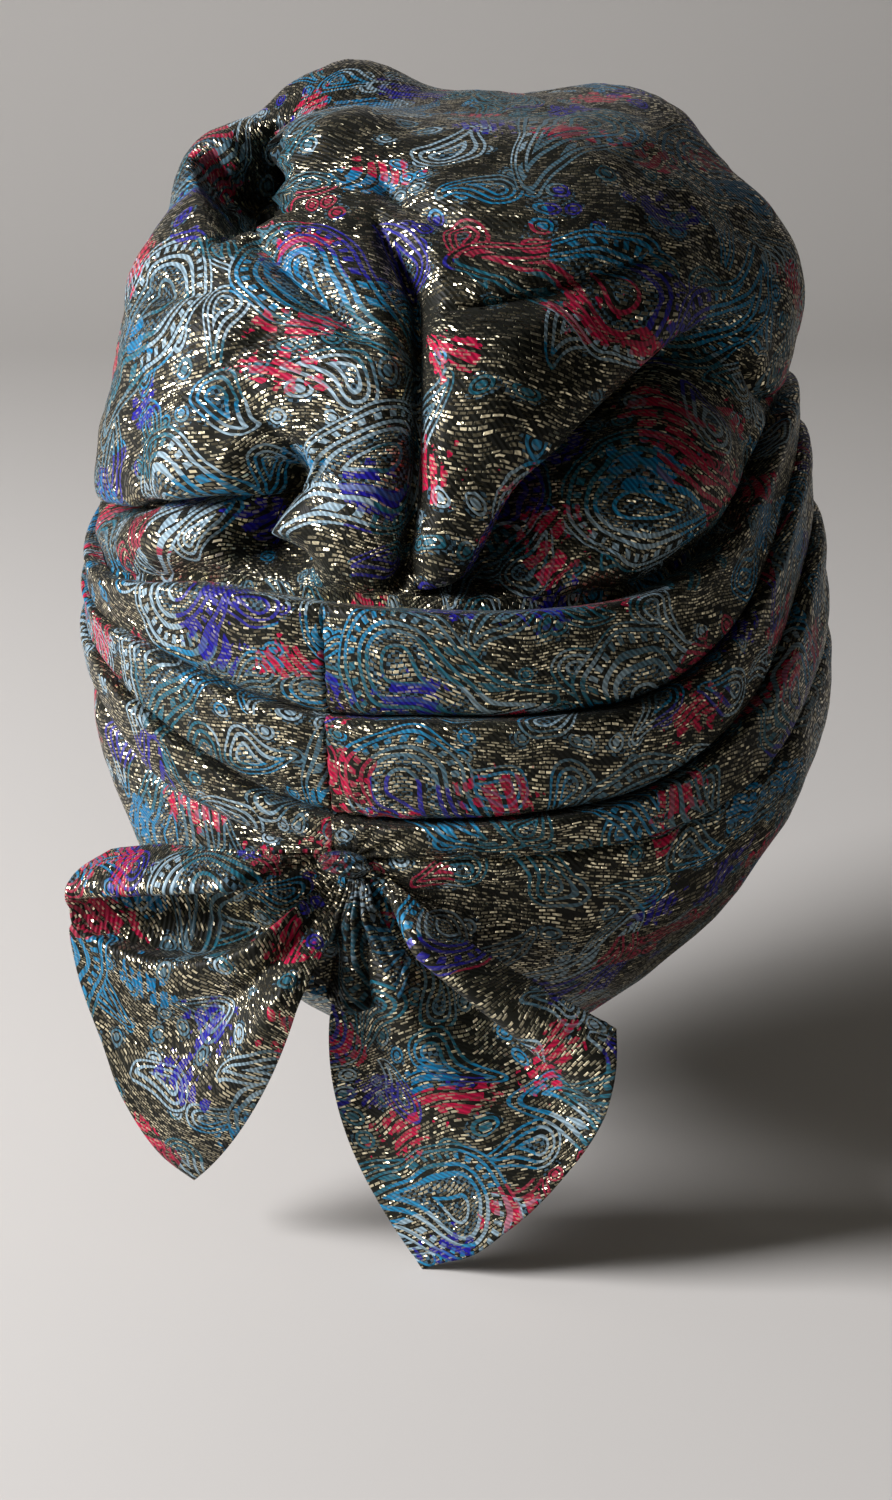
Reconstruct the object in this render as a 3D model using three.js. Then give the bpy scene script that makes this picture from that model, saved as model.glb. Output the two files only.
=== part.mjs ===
// A turban headwrap of brocade, as it stands on a head: a slouchy gathered crown over a band whose pleats
// run round the head and are drawn together at the nape, where a knot holds two pointed ties.
//
// Millimetres, +Z up. The origin is the middle of the head at the head-size line, just above the brows.
// The face looks towards -Y and the nape towards +Y. An azimuth is counted in degrees from the centre
// back, positive towards the wearer's right (-X), so 0 is the centre back and 180 the centre front.
// A station is a place on the wrap's side, from 0 at the nape hem's level to 1 at the top of the crown.
import * as THREE from "three";

// Overall reach of the wrap, from the origin.
const SIDE_REACH = 125;
const BACK_REACH = 137;
const FRONT_REACH = 112;
const TOP_HEIGHT = 189;
const NAPE_DROP = 118;
const SQUARENESS = 2.4; // exponent of the rounded plan outline: 2 is an ellipse, more is boxier

// Cloth and seams.
const WALL = 2;
const TIE_WALL = 1.6;
const SEAM_GAP = 0.3;

// Pleats of the band.
const PLEAT_OUT = 5;
const PLEAT_IN = 8;
const HEM_DRAW = 38; // how far the hem is drawn in to lie on the head, at the temples
const FULL_PLEAT_SPACING = 30; // pleats closer than this are shallower in proportion

// Folds of the crown.
const CREASE_DEPTH = 17;
const CREASE_REACH = 30;
const PUFF_OUT = 8;
const PUFF_REACH = 42;
const TUCK_REACH = 13; // how high above its seam the crown swells back out

// Ties and knot.
const KNOT_WIDTH = 26;
const KNOT_HEIGHT = 20;
const KNOT_DEPTH = 13;
const TIE_REACH = 134; // from the knot to the tip of the longer tie
const TIE_NECK = 6; // where a tie comes out from under the knot, measured from its middle
const TIE_RUFFLE = 12; // height of the folds that fan out from the knot
const TIE_STAND_OFF = 4; // least gap between a tie and the band, away from the knot
const TIE_PARTING = 1.2; // how far each tie keeps to its own side under the knot

// How finely the faceted solids follow the forms.
const CROWN_ROWS = 22;
const TIE_RIBS = 14;
const TIE_STEPS = 13;
const KNOT_ROWS = 8;
const KNOT_COLUMNS = 16;

const BROCADE = new THREE.MeshStandardMaterial({ color: 0x3d4f55, roughness: 0.55, metalness: 0.25 });
const SHADED_BROCADE = new THREE.MeshStandardMaterial({ color: 0x2b3a40, roughness: 0.6, metalness: 0.2 });

// Tables: the first row names the columns.
function table(columns, rows) {
  return rows.map((row) => Object.fromEntries(columns.map((name, i) => [name, row[i]])));
}

// A smooth curve through one column of a table, at a place on the column named along.
function smooth(rows, along, place, column) {
  const last = rows.length - 1;
  const at = THREE.MathUtils.clamp(place, rows[0][along], rows[last][along]);
  let i = 0;
  while (i < last - 1 && rows[i + 1][along] < at) i++;
  const slope = (k) => {
    const a = rows[Math.max(0, k - 1)];
    const b = rows[Math.min(last, k + 1)];
    return (b[column] - a[column]) / (b[along] - a[along]);
  };
  const span = rows[i + 1][along] - rows[i][along];
  const t = (at - rows[i][along]) / span;
  const [t2, t3] = [t * t, t * t * t];
  return (
    (2 * t3 - 3 * t2 + 1) * rows[i][column] +
    (t3 - 2 * t2 + t) * span * slope(i) +
    (3 * t2 - 2 * t3) * rows[i + 1][column] +
    (t3 - t2) * span * slope(i + 1)
  );
}

// The body: how high each station lies, and how far the wrap reaches there, as shares of the reaches above.
const BODY = table(
  ["station", "rise", "left", "right", "back", "front"],
  [
    [0.0, 0.0, 0.48, 0.48, 0.54, 0.54],
    [0.1, 0.075, 0.67, 0.66, 0.72, 0.7],
    [0.2, 0.18, 0.86, 0.86, 0.88, 0.88],
    [0.3, 0.284, 0.96, 0.97, 0.96, 0.95],
    [0.4, 0.394, 1.0, 0.97, 0.99, 0.98],
    [0.5, 0.503, 0.99, 0.92, 1.0, 1.0],
    [0.6, 0.613, 0.95, 0.86, 0.99, 1.0],
    [0.7, 0.723, 0.9, 0.82, 0.95, 0.98],
    [0.78, 0.806, 0.86, 0.79, 0.86, 0.93],
    [0.86, 0.887, 0.76, 0.71, 0.71, 0.81],
    [0.92, 0.942, 0.63, 0.58, 0.54, 0.65],
    [0.97, 0.981, 0.42, 0.41, 0.34, 0.44],
    [1.0, 1.0, 0.0, 0.0, 0.0, 0.0],
  ],
);

function bodyPoint(azimuth, station) {
  const share = (column) => Math.max(0, smooth(BODY, "station", station, column));
  const turn = THREE.MathUtils.degToRad(azimuth);
  const [s, c] = [Math.sin(turn), Math.cos(turn)];
  const side = SIDE_REACH * share(s > 0 ? "right" : "left");
  const depth = (c > 0 ? BACK_REACH : FRONT_REACH) * share(c > 0 ? "back" : "front");
  const z = -NAPE_DROP + (TOP_HEIGHT + NAPE_DROP) * share("rise");
  if (side < 1e-6 || depth < 1e-6) return new THREE.Vector3(0, 0, z);
  const reach = (Math.abs(s / side) ** SQUARENESS + Math.abs(c / depth) ** SQUARENESS) ** (-1 / SQUARENESS);
  return new THREE.Vector3(-s * reach, c * reach, z);
}

// The way out of the body at a place, square to its surface.
function bodyNormal(azimuth, station) {
  const low = Math.max(0, station - 0.01);
  const high = Math.min(0.995, station + 0.01);
  if (station > 0.995) return new THREE.Vector3(0, 0, 1);
  const across = bodyPoint(azimuth + 1, station).sub(bodyPoint(azimuth - 1, station));
  const up = bodyPoint(azimuth, high).sub(bodyPoint(azimuth, low));
  return across.cross(up).normalize();
}

function bodyHeight(station) {
  return (TOP_HEIGHT + NAPE_DROP) * smooth(BODY, "station", station, "rise");
}

// The band's lines, each as a station: its hem, the line where the ties draw it in, and the upper edges of
// its three pleats. relief is how deep the pleats are there, and draw the share of HEM_DRAW.
const BAND = table(
  ["azimuth", "hem", "drawn", "low", "middle", "top", "relief", "draw"],
  [
    [-180, 0.375, 0.445, 0.505, 0.565, 0.625, 0.35, 0.3],
    [-145, 0.3, 0.43, 0.495, 0.555, 0.61, 0.45, 0.85],
    [-118, 0.2, 0.42, 0.487, 0.545, 0.597, 0.5, 0.95],
    [-92, 0.1, 0.405, 0.475, 0.525, 0.572, 0.65, 0.3],
    [-70, 0.04, 0.395, 0.46, 0.508, 0.55, 0.8, 0.0],
    [-42, 0.0, 0.38, 0.437, 0.48, 0.52, 0.9, 0.0],
    [-28, 0.0, 0.335, 0.405, 0.473, 0.53, 1.0, 0.0],
    [-18, 0.0, 0.318, 0.375, 0.458, 0.542, 1.0, 0.0],
    [-8, 0.0, 0.303, 0.348, 0.441, 0.543, 1.0, 0.0],
    [2, 0.0, 0.295, 0.336, 0.434, 0.54, 0.9, 0.0],
    [15, 0.0, 0.3, 0.338, 0.44, 0.54, 1.0, 0.0],
    [30, 0.0, 0.307, 0.347, 0.442, 0.54, 1.0, 0.0],
    [45, 0.0, 0.312, 0.36, 0.448, 0.543, 1.0, 0.0],
    [60, 0.0, 0.325, 0.395, 0.48, 0.563, 1.0, 0.0],
    [75, 0.02, 0.35, 0.44, 0.53, 0.6, 1.0, 0.0],
    [95, 0.1, 0.39, 0.5, 0.585, 0.645, 0.9, 0.3],
    [118, 0.2, 0.42, 0.53, 0.615, 0.665, 0.7, 0.95],
    [145, 0.3, 0.44, 0.525, 0.595, 0.65, 0.5, 0.85],
    [180, 0.375, 0.445, 0.505, 0.565, 0.625, 0.35, 0.3],
  ],
);
const SEAM_AZIMUTH = 2; // the centre back seam of the band
const SEAM_TUCK = 0.1; // how far past its top line the band runs on, as a share of its top pleat

// How fully a pleat between two stations can stand out.
function fullness(low, high) {
  return Math.min(1, (bodyHeight(high) - bodyHeight(low)) / FULL_PLEAT_SPACING);
}

// The seam between band and crown: its station, and how far it is tucked into the body.
function seamAt(azimuth) {
  const [middle, top, relief] = ["middle", "top", "relief"].map((name) => smooth(BAND, "azimuth", azimuth, name));
  return {
    station: top + (top - middle) * SEAM_TUCK,
    tuck: PLEAT_IN * relief * Math.sqrt(fullness(middle, top)),
  };
}

// One pleat from the valley at its foot to the rolled edge at its top. along is the share of the way up to
// the next line, and out the share of PLEAT_OUT, or of PLEAT_IN where it is negative.
const PLEAT = table(
  ["along", "out"],
  [
    [0.1, -1.0],
    [0.4, 0.0],
    [0.7, 0.8],
    [0.91, 0.85],
  ],
);
// The loose cloth between the hem and the drawn line.
const SKIRT = table(
  ["along", "out"],
  [
    [0.0, 0.1],
    [0.4, 0.4],
    [0.85, 0.1],
  ],
);

function bandSection(azimuth) {
  const line = (name) => smooth(BAND, "azimuth", azimuth, name);
  const relief = line("relief");
  const spans = [
    ["hem", "drawn", SKIRT],
    ["drawn", "low", PLEAT],
    ["low", "middle", PLEAT],
    ["middle", "top", PLEAT],
  ];
  const rows = spans.flatMap(([from, to, profile]) => {
    const [low, high] = [line(from), line(to)];
    const full = relief * fullness(low, high);
    return profile.map(({ along, out }) => [
      low + (high - low) * along,
      out * full * (out > 0 ? PLEAT_OUT : PLEAT_IN),
    ]);
  });
  SKIRT.forEach(({ along }, i) => {
    rows[i][1] -= HEM_DRAW * Math.max(0, line("draw")) * (1 - along) ** 2;
  });
  const seam = seamAt(azimuth);
  rows.push([seam.station, -seam.tuck]);
  return rows.map(([station, out]) =>
    bodyPoint(azimuth, station).addScaledVector(bodyNormal(azimuth, station), out),
  );
}

// The crown's creases, as paths of [azimuth, station] pairs. depth and reach are shares of CREASE_DEPTH and
// CREASE_REACH, and fade the share of the path over which each end dies out.
const CREASES = table(
  ["name", "depth", "reach", "startFade", "endFade", "path"],
  [
    ["centre fold", 0.95, 0.6, 0.02, 0.5, [[12, 0.54], [12, 0.65], [12, 0.75], [8, 0.83], [-2, 0.9]]],
    ["right drape", 1.1, 0.75, 0.02, 0.35, [[14, 0.545], [24, 0.6], [34, 0.66], [48, 0.72], [66, 0.75], [82, 0.75]]],
    ["top edge", 0.4, 0.6, 0.2, 0.4, [[14, 0.81], [28, 0.805], [42, 0.822], [56, 0.84], [70, 0.85]]],
    ["top pocket", 1.5, 0.9, 0.25, 0.3, [[-18, 0.85], [-30, 0.885], [-48, 0.92], [-84, 0.945]]],
    ["pocket tail", 0.5, 0.5, 0.1, 0.3, [[-24, 0.865], [-8, 0.82], [2, 0.785], [11, 0.745]]],
    ["left drape", 0.75, 0.6, 0.5, 0.1, [[-72, 0.565], [-42, 0.572], [-28, 0.597], [-16, 0.615], [-5, 0.6]]],
    ["left hollow", 0.9, 0.65, 0.1, 0.4, [[-6, 0.575], [-8, 0.61], [-5, 0.65], [-9, 0.7]]],
  ],
);
// Where the cloth stands puffed out, as shares of PUFF_OUT and PUFF_REACH.
const PUFFS = table(
  ["name", "azimuth", "station", "out", "reach"],
  [
    ["top ridge", -32, 0.955, 1.4, 0.9],
    ["top peak", -75, 0.975, 1.5, 0.75],
    ["left shoulder", -62, 0.84, 0.8, 0.8],
    ["left puff", -20, 0.76, 0.8, 0.9],
    ["centre puff", 24, 0.75, 0.7, 0.8],
    ["right puff", 54, 0.65, 1.0, 0.9],
    ["right shoulder", 102, 0.79, 1.0, 1.0],
  ],
);
const FRONT_GATHERS = 9; // short plain gathers round the sides and front
const GATHER_DEPTH = 4.5;
const GATHER_REACH = 11;
const GATHER_HEIGHT = 0.16; // in stations

function gatherPaths() {
  const first = 112;
  const step = (360 - 80 - first) / (FRONT_GATHERS - 1);
  return Array.from({ length: FRONT_GATHERS }, (_, i) => {
    const azimuth = first + i * step;
    const foot = seamAt(azimuth > 180 ? azimuth - 360 : azimuth).station;
    return [[azimuth, foot], [azimuth + 3, foot + GATHER_HEIGHT * (0.7 + 0.3 * Math.cos(i * 2.3))]];
  });
}

// A path laid on the body, with the share of its length reached at each point.
function layPath(path) {
  const points = path.map(([azimuth, station]) => bodyPoint(azimuth, station));
  const shares = [0];
  points.slice(1).forEach((point, i) => shares.push(shares[i] + point.distanceTo(points[i])));
  return { points, shares: shares.map((length) => length / shares.at(-1)) };
}

function nearestOn({ points, shares }, place) {
  let best = { distance: Infinity, share: 0 };
  for (let i = 0; i + 1 < points.length; i++) {
    const piece = new THREE.Line3(points[i], points[i + 1]);
    const t = piece.closestPointToPointParameter(place, true);
    const distance = piece.at(t, new THREE.Vector3()).distanceTo(place);
    if (distance < best.distance) best = { distance, share: THREE.MathUtils.lerp(shares[i], shares[i + 1], t) };
  }
  return best;
}

const laidCreases = [
  ...CREASES.map((c) => ({
    ...layPath(c.path),
    depth: c.depth * CREASE_DEPTH,
    reach: c.reach * CREASE_REACH,
    startFade: c.startFade,
    endFade: c.endFade,
  })),
  ...gatherPaths().map((path) => ({
    ...layPath(path),
    depth: GATHER_DEPTH,
    reach: GATHER_REACH,
    startFade: 0.02,
    endFade: 0.8,
  })),
];

// How far the crown's cloth stands off the body at a point: sharp valleys along the creases, round puffs.
function crownOut(place) {
  let out = 0;
  for (const crease of laidCreases) {
    const { distance, share } = nearestOn(crease, place);
    const t = distance / crease.reach;
    if (t >= 1) continue;
    const fade =
      THREE.MathUtils.smoothstep(share, 0, crease.startFade) *
      (1 - THREE.MathUtils.smoothstep(share, 1 - crease.endFade, 1));
    out -= crease.depth * fade * (1 - t * t) ** 2 * (1 - 0.35 * t);
  }
  for (const puff of PUFFS) {
    const t = bodyPoint(puff.azimuth, puff.station).distanceTo(place) / (puff.reach * PUFF_REACH);
    if (t < 1) out += puff.out * PUFF_OUT * (1 - t * t) ** 2;
  }
  return out;
}

// The crown starts in the valley behind the band's top pleat, one seam gap above the band's own edge.
function crownSection(azimuth) {
  const seam = seamAt(azimuth > 180 ? azimuth - 360 : azimuth);
  const foot = seam.station;
  return Array.from({ length: CROWN_ROWS + 1 }, (_, i) => {
    const share = i / CROWN_ROWS;
    const station = foot + (1 - foot) * share ** 1.12;
    const place = bodyPoint(azimuth, station);
    const above = bodyHeight(station) - bodyHeight(foot);
    const tuck = Math.max(0, 1 - above / TUCK_REACH) ** 2;
    const out = crownOut(place) * (1 - tuck) - seam.tuck * tuck;
    place.addScaledVector(bodyNormal(azimuth, station), out);
    if (i === 0) place.z += SEAM_GAP;
    return place;
  });
}

// Shells: a grid of outer points becomes a closed wall of one thickness.
function gridNormals(grid, closed) {
  const columns = grid.length;
  return grid.map((column, j) =>
    column.map((_, i) => {
      const before = closed ? (j + columns - 1) % columns : Math.max(0, j - 1);
      const after = closed ? (j + 1) % columns : Math.min(columns - 1, j + 1);
      const across = grid[after][i].clone().sub(grid[before][i]);
      const up = column[Math.min(column.length - 1, i + 1)].clone().sub(column[Math.max(0, i - 1)]);
      return across.cross(up).normalize();
    }),
  );
}

function shell(outer, inner, closed, pole) {
  const [columns, rows] = [outer.length, outer[0].length];
  const points = [...outer.flat(), ...inner.flat()];
  const at = (side, j, i) => side * columns * rows + (j % columns) * rows + i;
  const triangles = [];
  const quad = (a, b, c, d) => triangles.push(a, b, c, a, c, d);
  const lastRow = pole ? rows - 2 : rows - 1;
  const [outerPole, innerPole] = [at(0, 0, rows - 1), at(1, 0, rows - 1)];
  for (let j = 0; j < (closed ? columns : columns - 1); j++) {
    for (let i = 0; i < lastRow; i++) {
      quad(at(0, j, i), at(0, j + 1, i), at(0, j + 1, i + 1), at(0, j, i + 1));
      quad(at(1, j, i), at(1, j, i + 1), at(1, j + 1, i + 1), at(1, j + 1, i));
    }
    quad(at(0, j, 0), at(1, j, 0), at(1, j + 1, 0), at(0, j + 1, 0));
    if (pole) {
      triangles.push(at(0, j, lastRow), at(0, j + 1, lastRow), outerPole);
      triangles.push(at(1, j, lastRow), innerPole, at(1, j + 1, lastRow));
    } else {
      quad(at(0, j, lastRow), at(0, j + 1, lastRow), at(1, j + 1, lastRow), at(1, j, lastRow));
    }
  }
  const last = columns - 1;
  for (let i = 0; !closed && i < rows - 1; i++) {
    quad(at(0, 0, i), at(0, 0, i + 1), at(1, 0, i + 1), at(1, 0, i));
    quad(at(0, last, i), at(1, last, i), at(1, last, i + 1), at(0, last, i + 1));
  }
  const geometry = new THREE.BufferGeometry();
  geometry.setAttribute("position", new THREE.Float32BufferAttribute(points.flatMap((p) => p.toArray()), 3));
  geometry.setIndex(triangles);
  return geometry;
}

function named(name, geometry, material) {
  geometry.computeVertexNormals();
  const mesh = new THREE.Mesh(geometry, material.clone());
  mesh.name = name;
  return mesh;
}

// The azimuths of the columns that the band and the crown share, so that their seam lines up: close
// together at the back, where the folds are, and wider apart round the front.
const COLUMN_ZONES = table(
  ["from", "to", "step"],
  [
    [SEAM_AZIMUTH, 62, 3.33],
    [62, 112, 6.25],
    [112, 180, 9.7],
    [180, 292, 11.2],
    [292, 322, 6],
    [322, 360 + SEAM_AZIMUTH, 3.33],
  ],
);
const COLUMNS = COLUMN_ZONES.flatMap(({ from, to, step }) => {
  const count = Math.round((to - from) / step);
  return Array.from({ length: count }, (_, i) => from + ((to - from) * i) / count);
});

// At the seam between crown and band both walls are measured level and square to the axis.
function level(vector) {
  return vector.setZ(0).normalize();
}

function makeCrown() {
  const outer = COLUMNS.map(crownSection);
  const normals = gridNormals(outer, true);
  const inner = outer.map((column, j) =>
    column.map((point, i) => {
      const way = i === 0 ? level(bodyNormal(COLUMNS[j], 0.5)) : normals[j][i];
      if (i === column.length - 1) way.set(0, 0, 1);
      return point.clone().addScaledVector(way, -WALL);
    }),
  );
  return named("crown", shell(outer, inner, true, true), BROCADE);
}

// One side of the band, between the back seam and the front seam.
function makeBandPanel(name, from, to) {
  const angles = [...COLUMNS.filter((a) => a >= from && a < to), to];
  const outer = angles.map((azimuth) => bandSection(azimuth > 180 ? azimuth - 360 : azimuth));
  const normals = gridNormals(outer, false);
  const last = angles.length - 1;
  const inner = outer.map((column, j) =>
    column.map((point, i) => {
      let way = normals[j][i];
      const turn = THREE.MathUtils.degToRad(angles[j]);
      if (j === 0 || j === last) {
        const sideways = new THREE.Vector3(-Math.cos(turn), -Math.sin(turn), 0);
        way.addScaledVector(sideways, -way.dot(sideways)).normalize();
      }
      if (i === column.length - 1) way = level(bodyNormal(angles[j], 0.5));
      return point.clone().addScaledVector(way, -WALL);
    }),
  );
  // Each panel stops half a seam gap short of the seam plane.
  for (const [j, sign] of [[0, 1], [last, -1]]) {
    const turn = THREE.MathUtils.degToRad(angles[j]);
    const shift = new THREE.Vector3(-Math.cos(turn), -Math.sin(turn), 0).multiplyScalar((sign * SEAM_GAP) / 2);
    [...outer[j], ...inner[j]].forEach((point) => point.add(shift));
  }
  return named(name, shell(outer, inner, false, false), BROCADE);
}

// The knot and the ties share one frame: its origin on the drawn line at the centre back, across towards
// the wearer's right, up, and out away from the head.
const KNOT_AZIMUTH = 4;
const knotFoot = bodyPoint(KNOT_AZIMUTH, smooth(BAND, "azimuth", KNOT_AZIMUTH, "drawn"));
const knotTurn = THREE.MathUtils.degToRad(KNOT_AZIMUTH);
const knotAcross = new THREE.Vector3(-Math.cos(knotTurn), -Math.sin(knotTurn), 0);
const knotOut = new THREE.Vector3(-Math.sin(knotTurn), Math.cos(knotTurn), 0);

function atKnot(across, up, out) {
  const place = knotFoot.clone().addScaledVector(knotAcross, across).addScaledVector(knotOut, out);
  place.z += up;
  return place;
}

// How far out of the knot's origin the band lies at a place across and up from it, where its cloth stands
// the given share of PLEAT_OUT off the body.
function bandReach(across, up, pleatShare) {
  const place = atKnot(across, up, 0);
  const rise = (place.z + NAPE_DROP) / (TOP_HEIGHT + NAPE_DROP);
  if (rise < 0) return -Infinity;
  const side = SIDE_REACH * smooth(BODY, "rise", rise, place.x < 0 ? "right" : "left");
  const depth = BACK_REACH * smooth(BODY, "rise", rise, "back");
  const share = Math.min(1, Math.abs(place.x) / side) ** SQUARENESS;
  const bodyReach = (depth * (1 - share) ** (1 / SQUARENESS) - knotFoot.y) / Math.cos(knotTurn);
  return bodyReach + PLEAT_OUT * pleatShare;
}

// Each tie fans out from the knot in ribs. near, half and far are a rib's angle below the horizontal at its
// start, two fifths along and at its end. reach is a share of TIE_REACH. outNear and outFar are how far the
// rib stands out of the fan, as shares of TIE_RUFFLE, near the knot and at the rim.
const RIB_COLUMNS = ["rib", "near", "half", "far", "reach", "outNear", "outFar"];
const LEFT_TIE = table(RIB_COLUMNS, [
  [0.0, -12, 0, 7, 0.61, -0.5, -0.6],
  [0.08, -4, 4, 9, 0.66, 0.5, 0.2],
  [0.18, 5, 10, 14, 0.68, 0.9, 0.5],
  [0.3, 16, 19, 19, 0.68, -0.3, -0.1],
  [0.4, 28, 28, 25, 0.7, -1.1, -0.6],
  [0.52, 42, 39, 34, 0.75, 0.2, 0.2],
  [0.62, 52, 47, 43, 0.81, 0.8, 0.5],
  [0.76, 64, 58, 55, 0.88, 0.5, 0.4],
  [0.88, 75, 68, 63, 0.925, 0.2, 0.1],
  [1.0, 84, 77, 67, 0.92, -0.3, -0.1],
]);
const RIGHT_TIE = table(RIB_COLUMNS, [
  [0.0, -8, 15, 26, 0.71, -0.4, -0.3],
  [0.08, 0, 20, 29, 0.75, 0.4, 0.2],
  [0.2, 14, 28, 35, 0.8, 0.7, 0.4],
  [0.34, 30, 39, 43, 0.835, -0.1, 0.1],
  [0.48, 46, 52, 53, 0.88, -0.8, -0.1],
  [0.62, 62, 67, 63, 0.93, -0.9, 0.1],
  [0.76, 74, 80, 71, 0.985, -0.5, 0.3],
  [0.9, 80, 88, 77, 1.0, -0.3, 0.1],
  [1.0, 86, 97, 79, 0.985, -0.5, 0.0],
]);
const DRAWN_SHARE = -0.24; // under the knot the band is drawn in by this share of PLEAT_OUT
const TIE_PINCH = 0.03; // the share of a rib that lies flat under the knot
const TIE_OPEN = 0.3; // the share at which its fold stands fully open
const TIE_CURL = 14; // how far a tie's outer corner bends back towards the head

function tiePoint(rows, side, rib, along) {
  const get = (column) => smooth(rows, "rib", rib, column);
  const stops = table(["along", "angle"], [[0, get("near")], [0.4, get("half")], [1, get("far")]]);
  const angle = THREE.MathUtils.degToRad(smooth(stops, "along", along, "angle"));
  const reach = THREE.MathUtils.lerp(TIE_NECK, get("reach") * TIE_REACH, along);
  const across = side * (reach * Math.cos(angle) + TIE_PARTING);
  const up = -reach * Math.sin(angle);
  const opened = THREE.MathUtils.smoothstep(along, TIE_PINCH, TIE_OPEN);
  const ruffle = TIE_RUFFLE * opened * THREE.MathUtils.lerp(get("outNear"), get("outFar"), along);
  const curl = TIE_CURL * (across / TIE_REACH) ** 2;
  const free = KNOT_DEPTH * 0.9 * opened + ruffle - curl;
  const pleatShare = THREE.MathUtils.lerp(DRAWN_SHARE, 1, opened);
  const clearance = THREE.MathUtils.lerp(SEAM_GAP, TIE_STAND_OFF, opened);
  const least = bandReach(across, up, pleatShare) + TIE_WALL / 2 + clearance;
  return atKnot(across, up, Math.max(free, least));
}

function makeTie(name, rows, side) {
  const ribs = Array.from({ length: TIE_RIBS + 1 }, (_, j) => (side > 0 ? j : TIE_RIBS - j) / TIE_RIBS);
  const middle = ribs.map((rib) =>
    Array.from({ length: TIE_STEPS + 1 }, (_, i) => tiePoint(rows, side, rib, i / TIE_STEPS)),
  );
  const normals = gridNormals(middle, false);
  const [outer, inner] = [TIE_WALL / 2, -TIE_WALL / 2].map((shift) =>
    middle.map((column, j) => column.map((point, i) => point.clone().addScaledVector(normals[j][i], shift))),
  );
  return named(name, shell(outer, inner, false, false), BROCADE);
}

// The knot: a lump of cloth wound round the necks of the ties, with the turns showing as shallow grooves.
const KNOT_GROOVE = 1.2;
const KNOT_TURNS = 3;
function makeKnot() {
  const back = bandReach(0, 0, DRAWN_SHARE) + TIE_WALL + 2 * SEAM_GAP;
  const points = [];
  for (let i = 1; i < KNOT_ROWS; i++) {
    const tilt = (Math.PI * i) / KNOT_ROWS;
    for (let j = 0; j < KNOT_COLUMNS; j++) {
      const turn = (2 * Math.PI * j) / KNOT_COLUMNS;
      const groove = KNOT_GROOVE * Math.cos(KNOT_TURNS * 2 * tilt) * Math.sin(tilt);
      const across = (KNOT_WIDTH / 2 - groove) * Math.sin(tilt) * Math.cos(turn);
      const up = (KNOT_HEIGHT / 2) * Math.cos(tilt);
      const out = (KNOT_DEPTH / 2 - groove) * Math.sin(tilt) * Math.sin(turn);
      points.push(atKnot(across, up, back + KNOT_DEPTH / 2 + out));
    }
  }
  const [top, bottom] = [1, -1].map((sign) => atKnot(0, (sign * KNOT_HEIGHT) / 2, back + KNOT_DEPTH / 2));
  points.push(top, bottom);
  const at = (i, j) => (i - 1) * KNOT_COLUMNS + (j % KNOT_COLUMNS);
  const [topAt, bottomAt] = [points.length - 2, points.length - 1];
  const triangles = [];
  for (let j = 0; j < KNOT_COLUMNS; j++) {
    triangles.push(topAt, at(1, j + 1), at(1, j));
    triangles.push(bottomAt, at(KNOT_ROWS - 1, j), at(KNOT_ROWS - 1, j + 1));
    for (let i = 1; i < KNOT_ROWS - 1; i++)
      triangles.push(at(i, j), at(i, j + 1), at(i + 1, j + 1), at(i, j), at(i + 1, j + 1), at(i + 1, j));
  }
  const geometry = new THREE.BufferGeometry();
  geometry.setAttribute("position", new THREE.Float32BufferAttribute(points.flatMap((p) => p.toArray()), 3));
  geometry.setIndex(triangles);
  return named("knot", geometry, SHADED_BROCADE);
}

const group = new THREE.Group();
group.add(makeCrown());
group.add(makeBandPanel("band_right", SEAM_AZIMUTH, 180));
group.add(makeBandPanel("band_left", 180, 360 + SEAM_AZIMUTH));
group.add(makeTie("tie_left", LEFT_TIE, -1));
group.add(makeTie("tie_right", RIGHT_TIE, 1));
group.add(makeKnot());

export default group;
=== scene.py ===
import math

import bpy
import numpy as np
from mathutils import Matrix


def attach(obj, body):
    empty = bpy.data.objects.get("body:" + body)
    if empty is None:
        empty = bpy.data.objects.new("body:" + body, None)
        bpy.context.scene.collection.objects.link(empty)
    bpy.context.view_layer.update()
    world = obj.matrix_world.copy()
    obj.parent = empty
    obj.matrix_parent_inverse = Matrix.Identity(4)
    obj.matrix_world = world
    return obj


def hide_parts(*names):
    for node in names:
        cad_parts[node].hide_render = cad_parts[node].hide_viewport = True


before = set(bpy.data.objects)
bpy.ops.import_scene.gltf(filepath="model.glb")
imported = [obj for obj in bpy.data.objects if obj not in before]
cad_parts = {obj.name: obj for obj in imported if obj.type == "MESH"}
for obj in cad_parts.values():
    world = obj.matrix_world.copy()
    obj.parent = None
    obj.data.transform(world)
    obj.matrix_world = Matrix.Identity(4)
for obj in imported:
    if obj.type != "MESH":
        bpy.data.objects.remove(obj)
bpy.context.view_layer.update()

# The crown: one big bag of paisley brocade, pulled over the head and gathered
# into the band. It is slouchy, so it lies in deep soft folds at the back.

# The head form that the cloth lies round, in millimetres from the middle of the head-size line.
SIDE_REACH, BACK_REACH, FRONT_REACH = 125.0, 137.0, 112.0
TOP_HEIGHT, NAPE_DROP = 189.0, 118.0
HEAD_HEIGHT = TOP_HEIGHT + NAPE_DROP
SQUARENESS = 2.4
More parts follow.
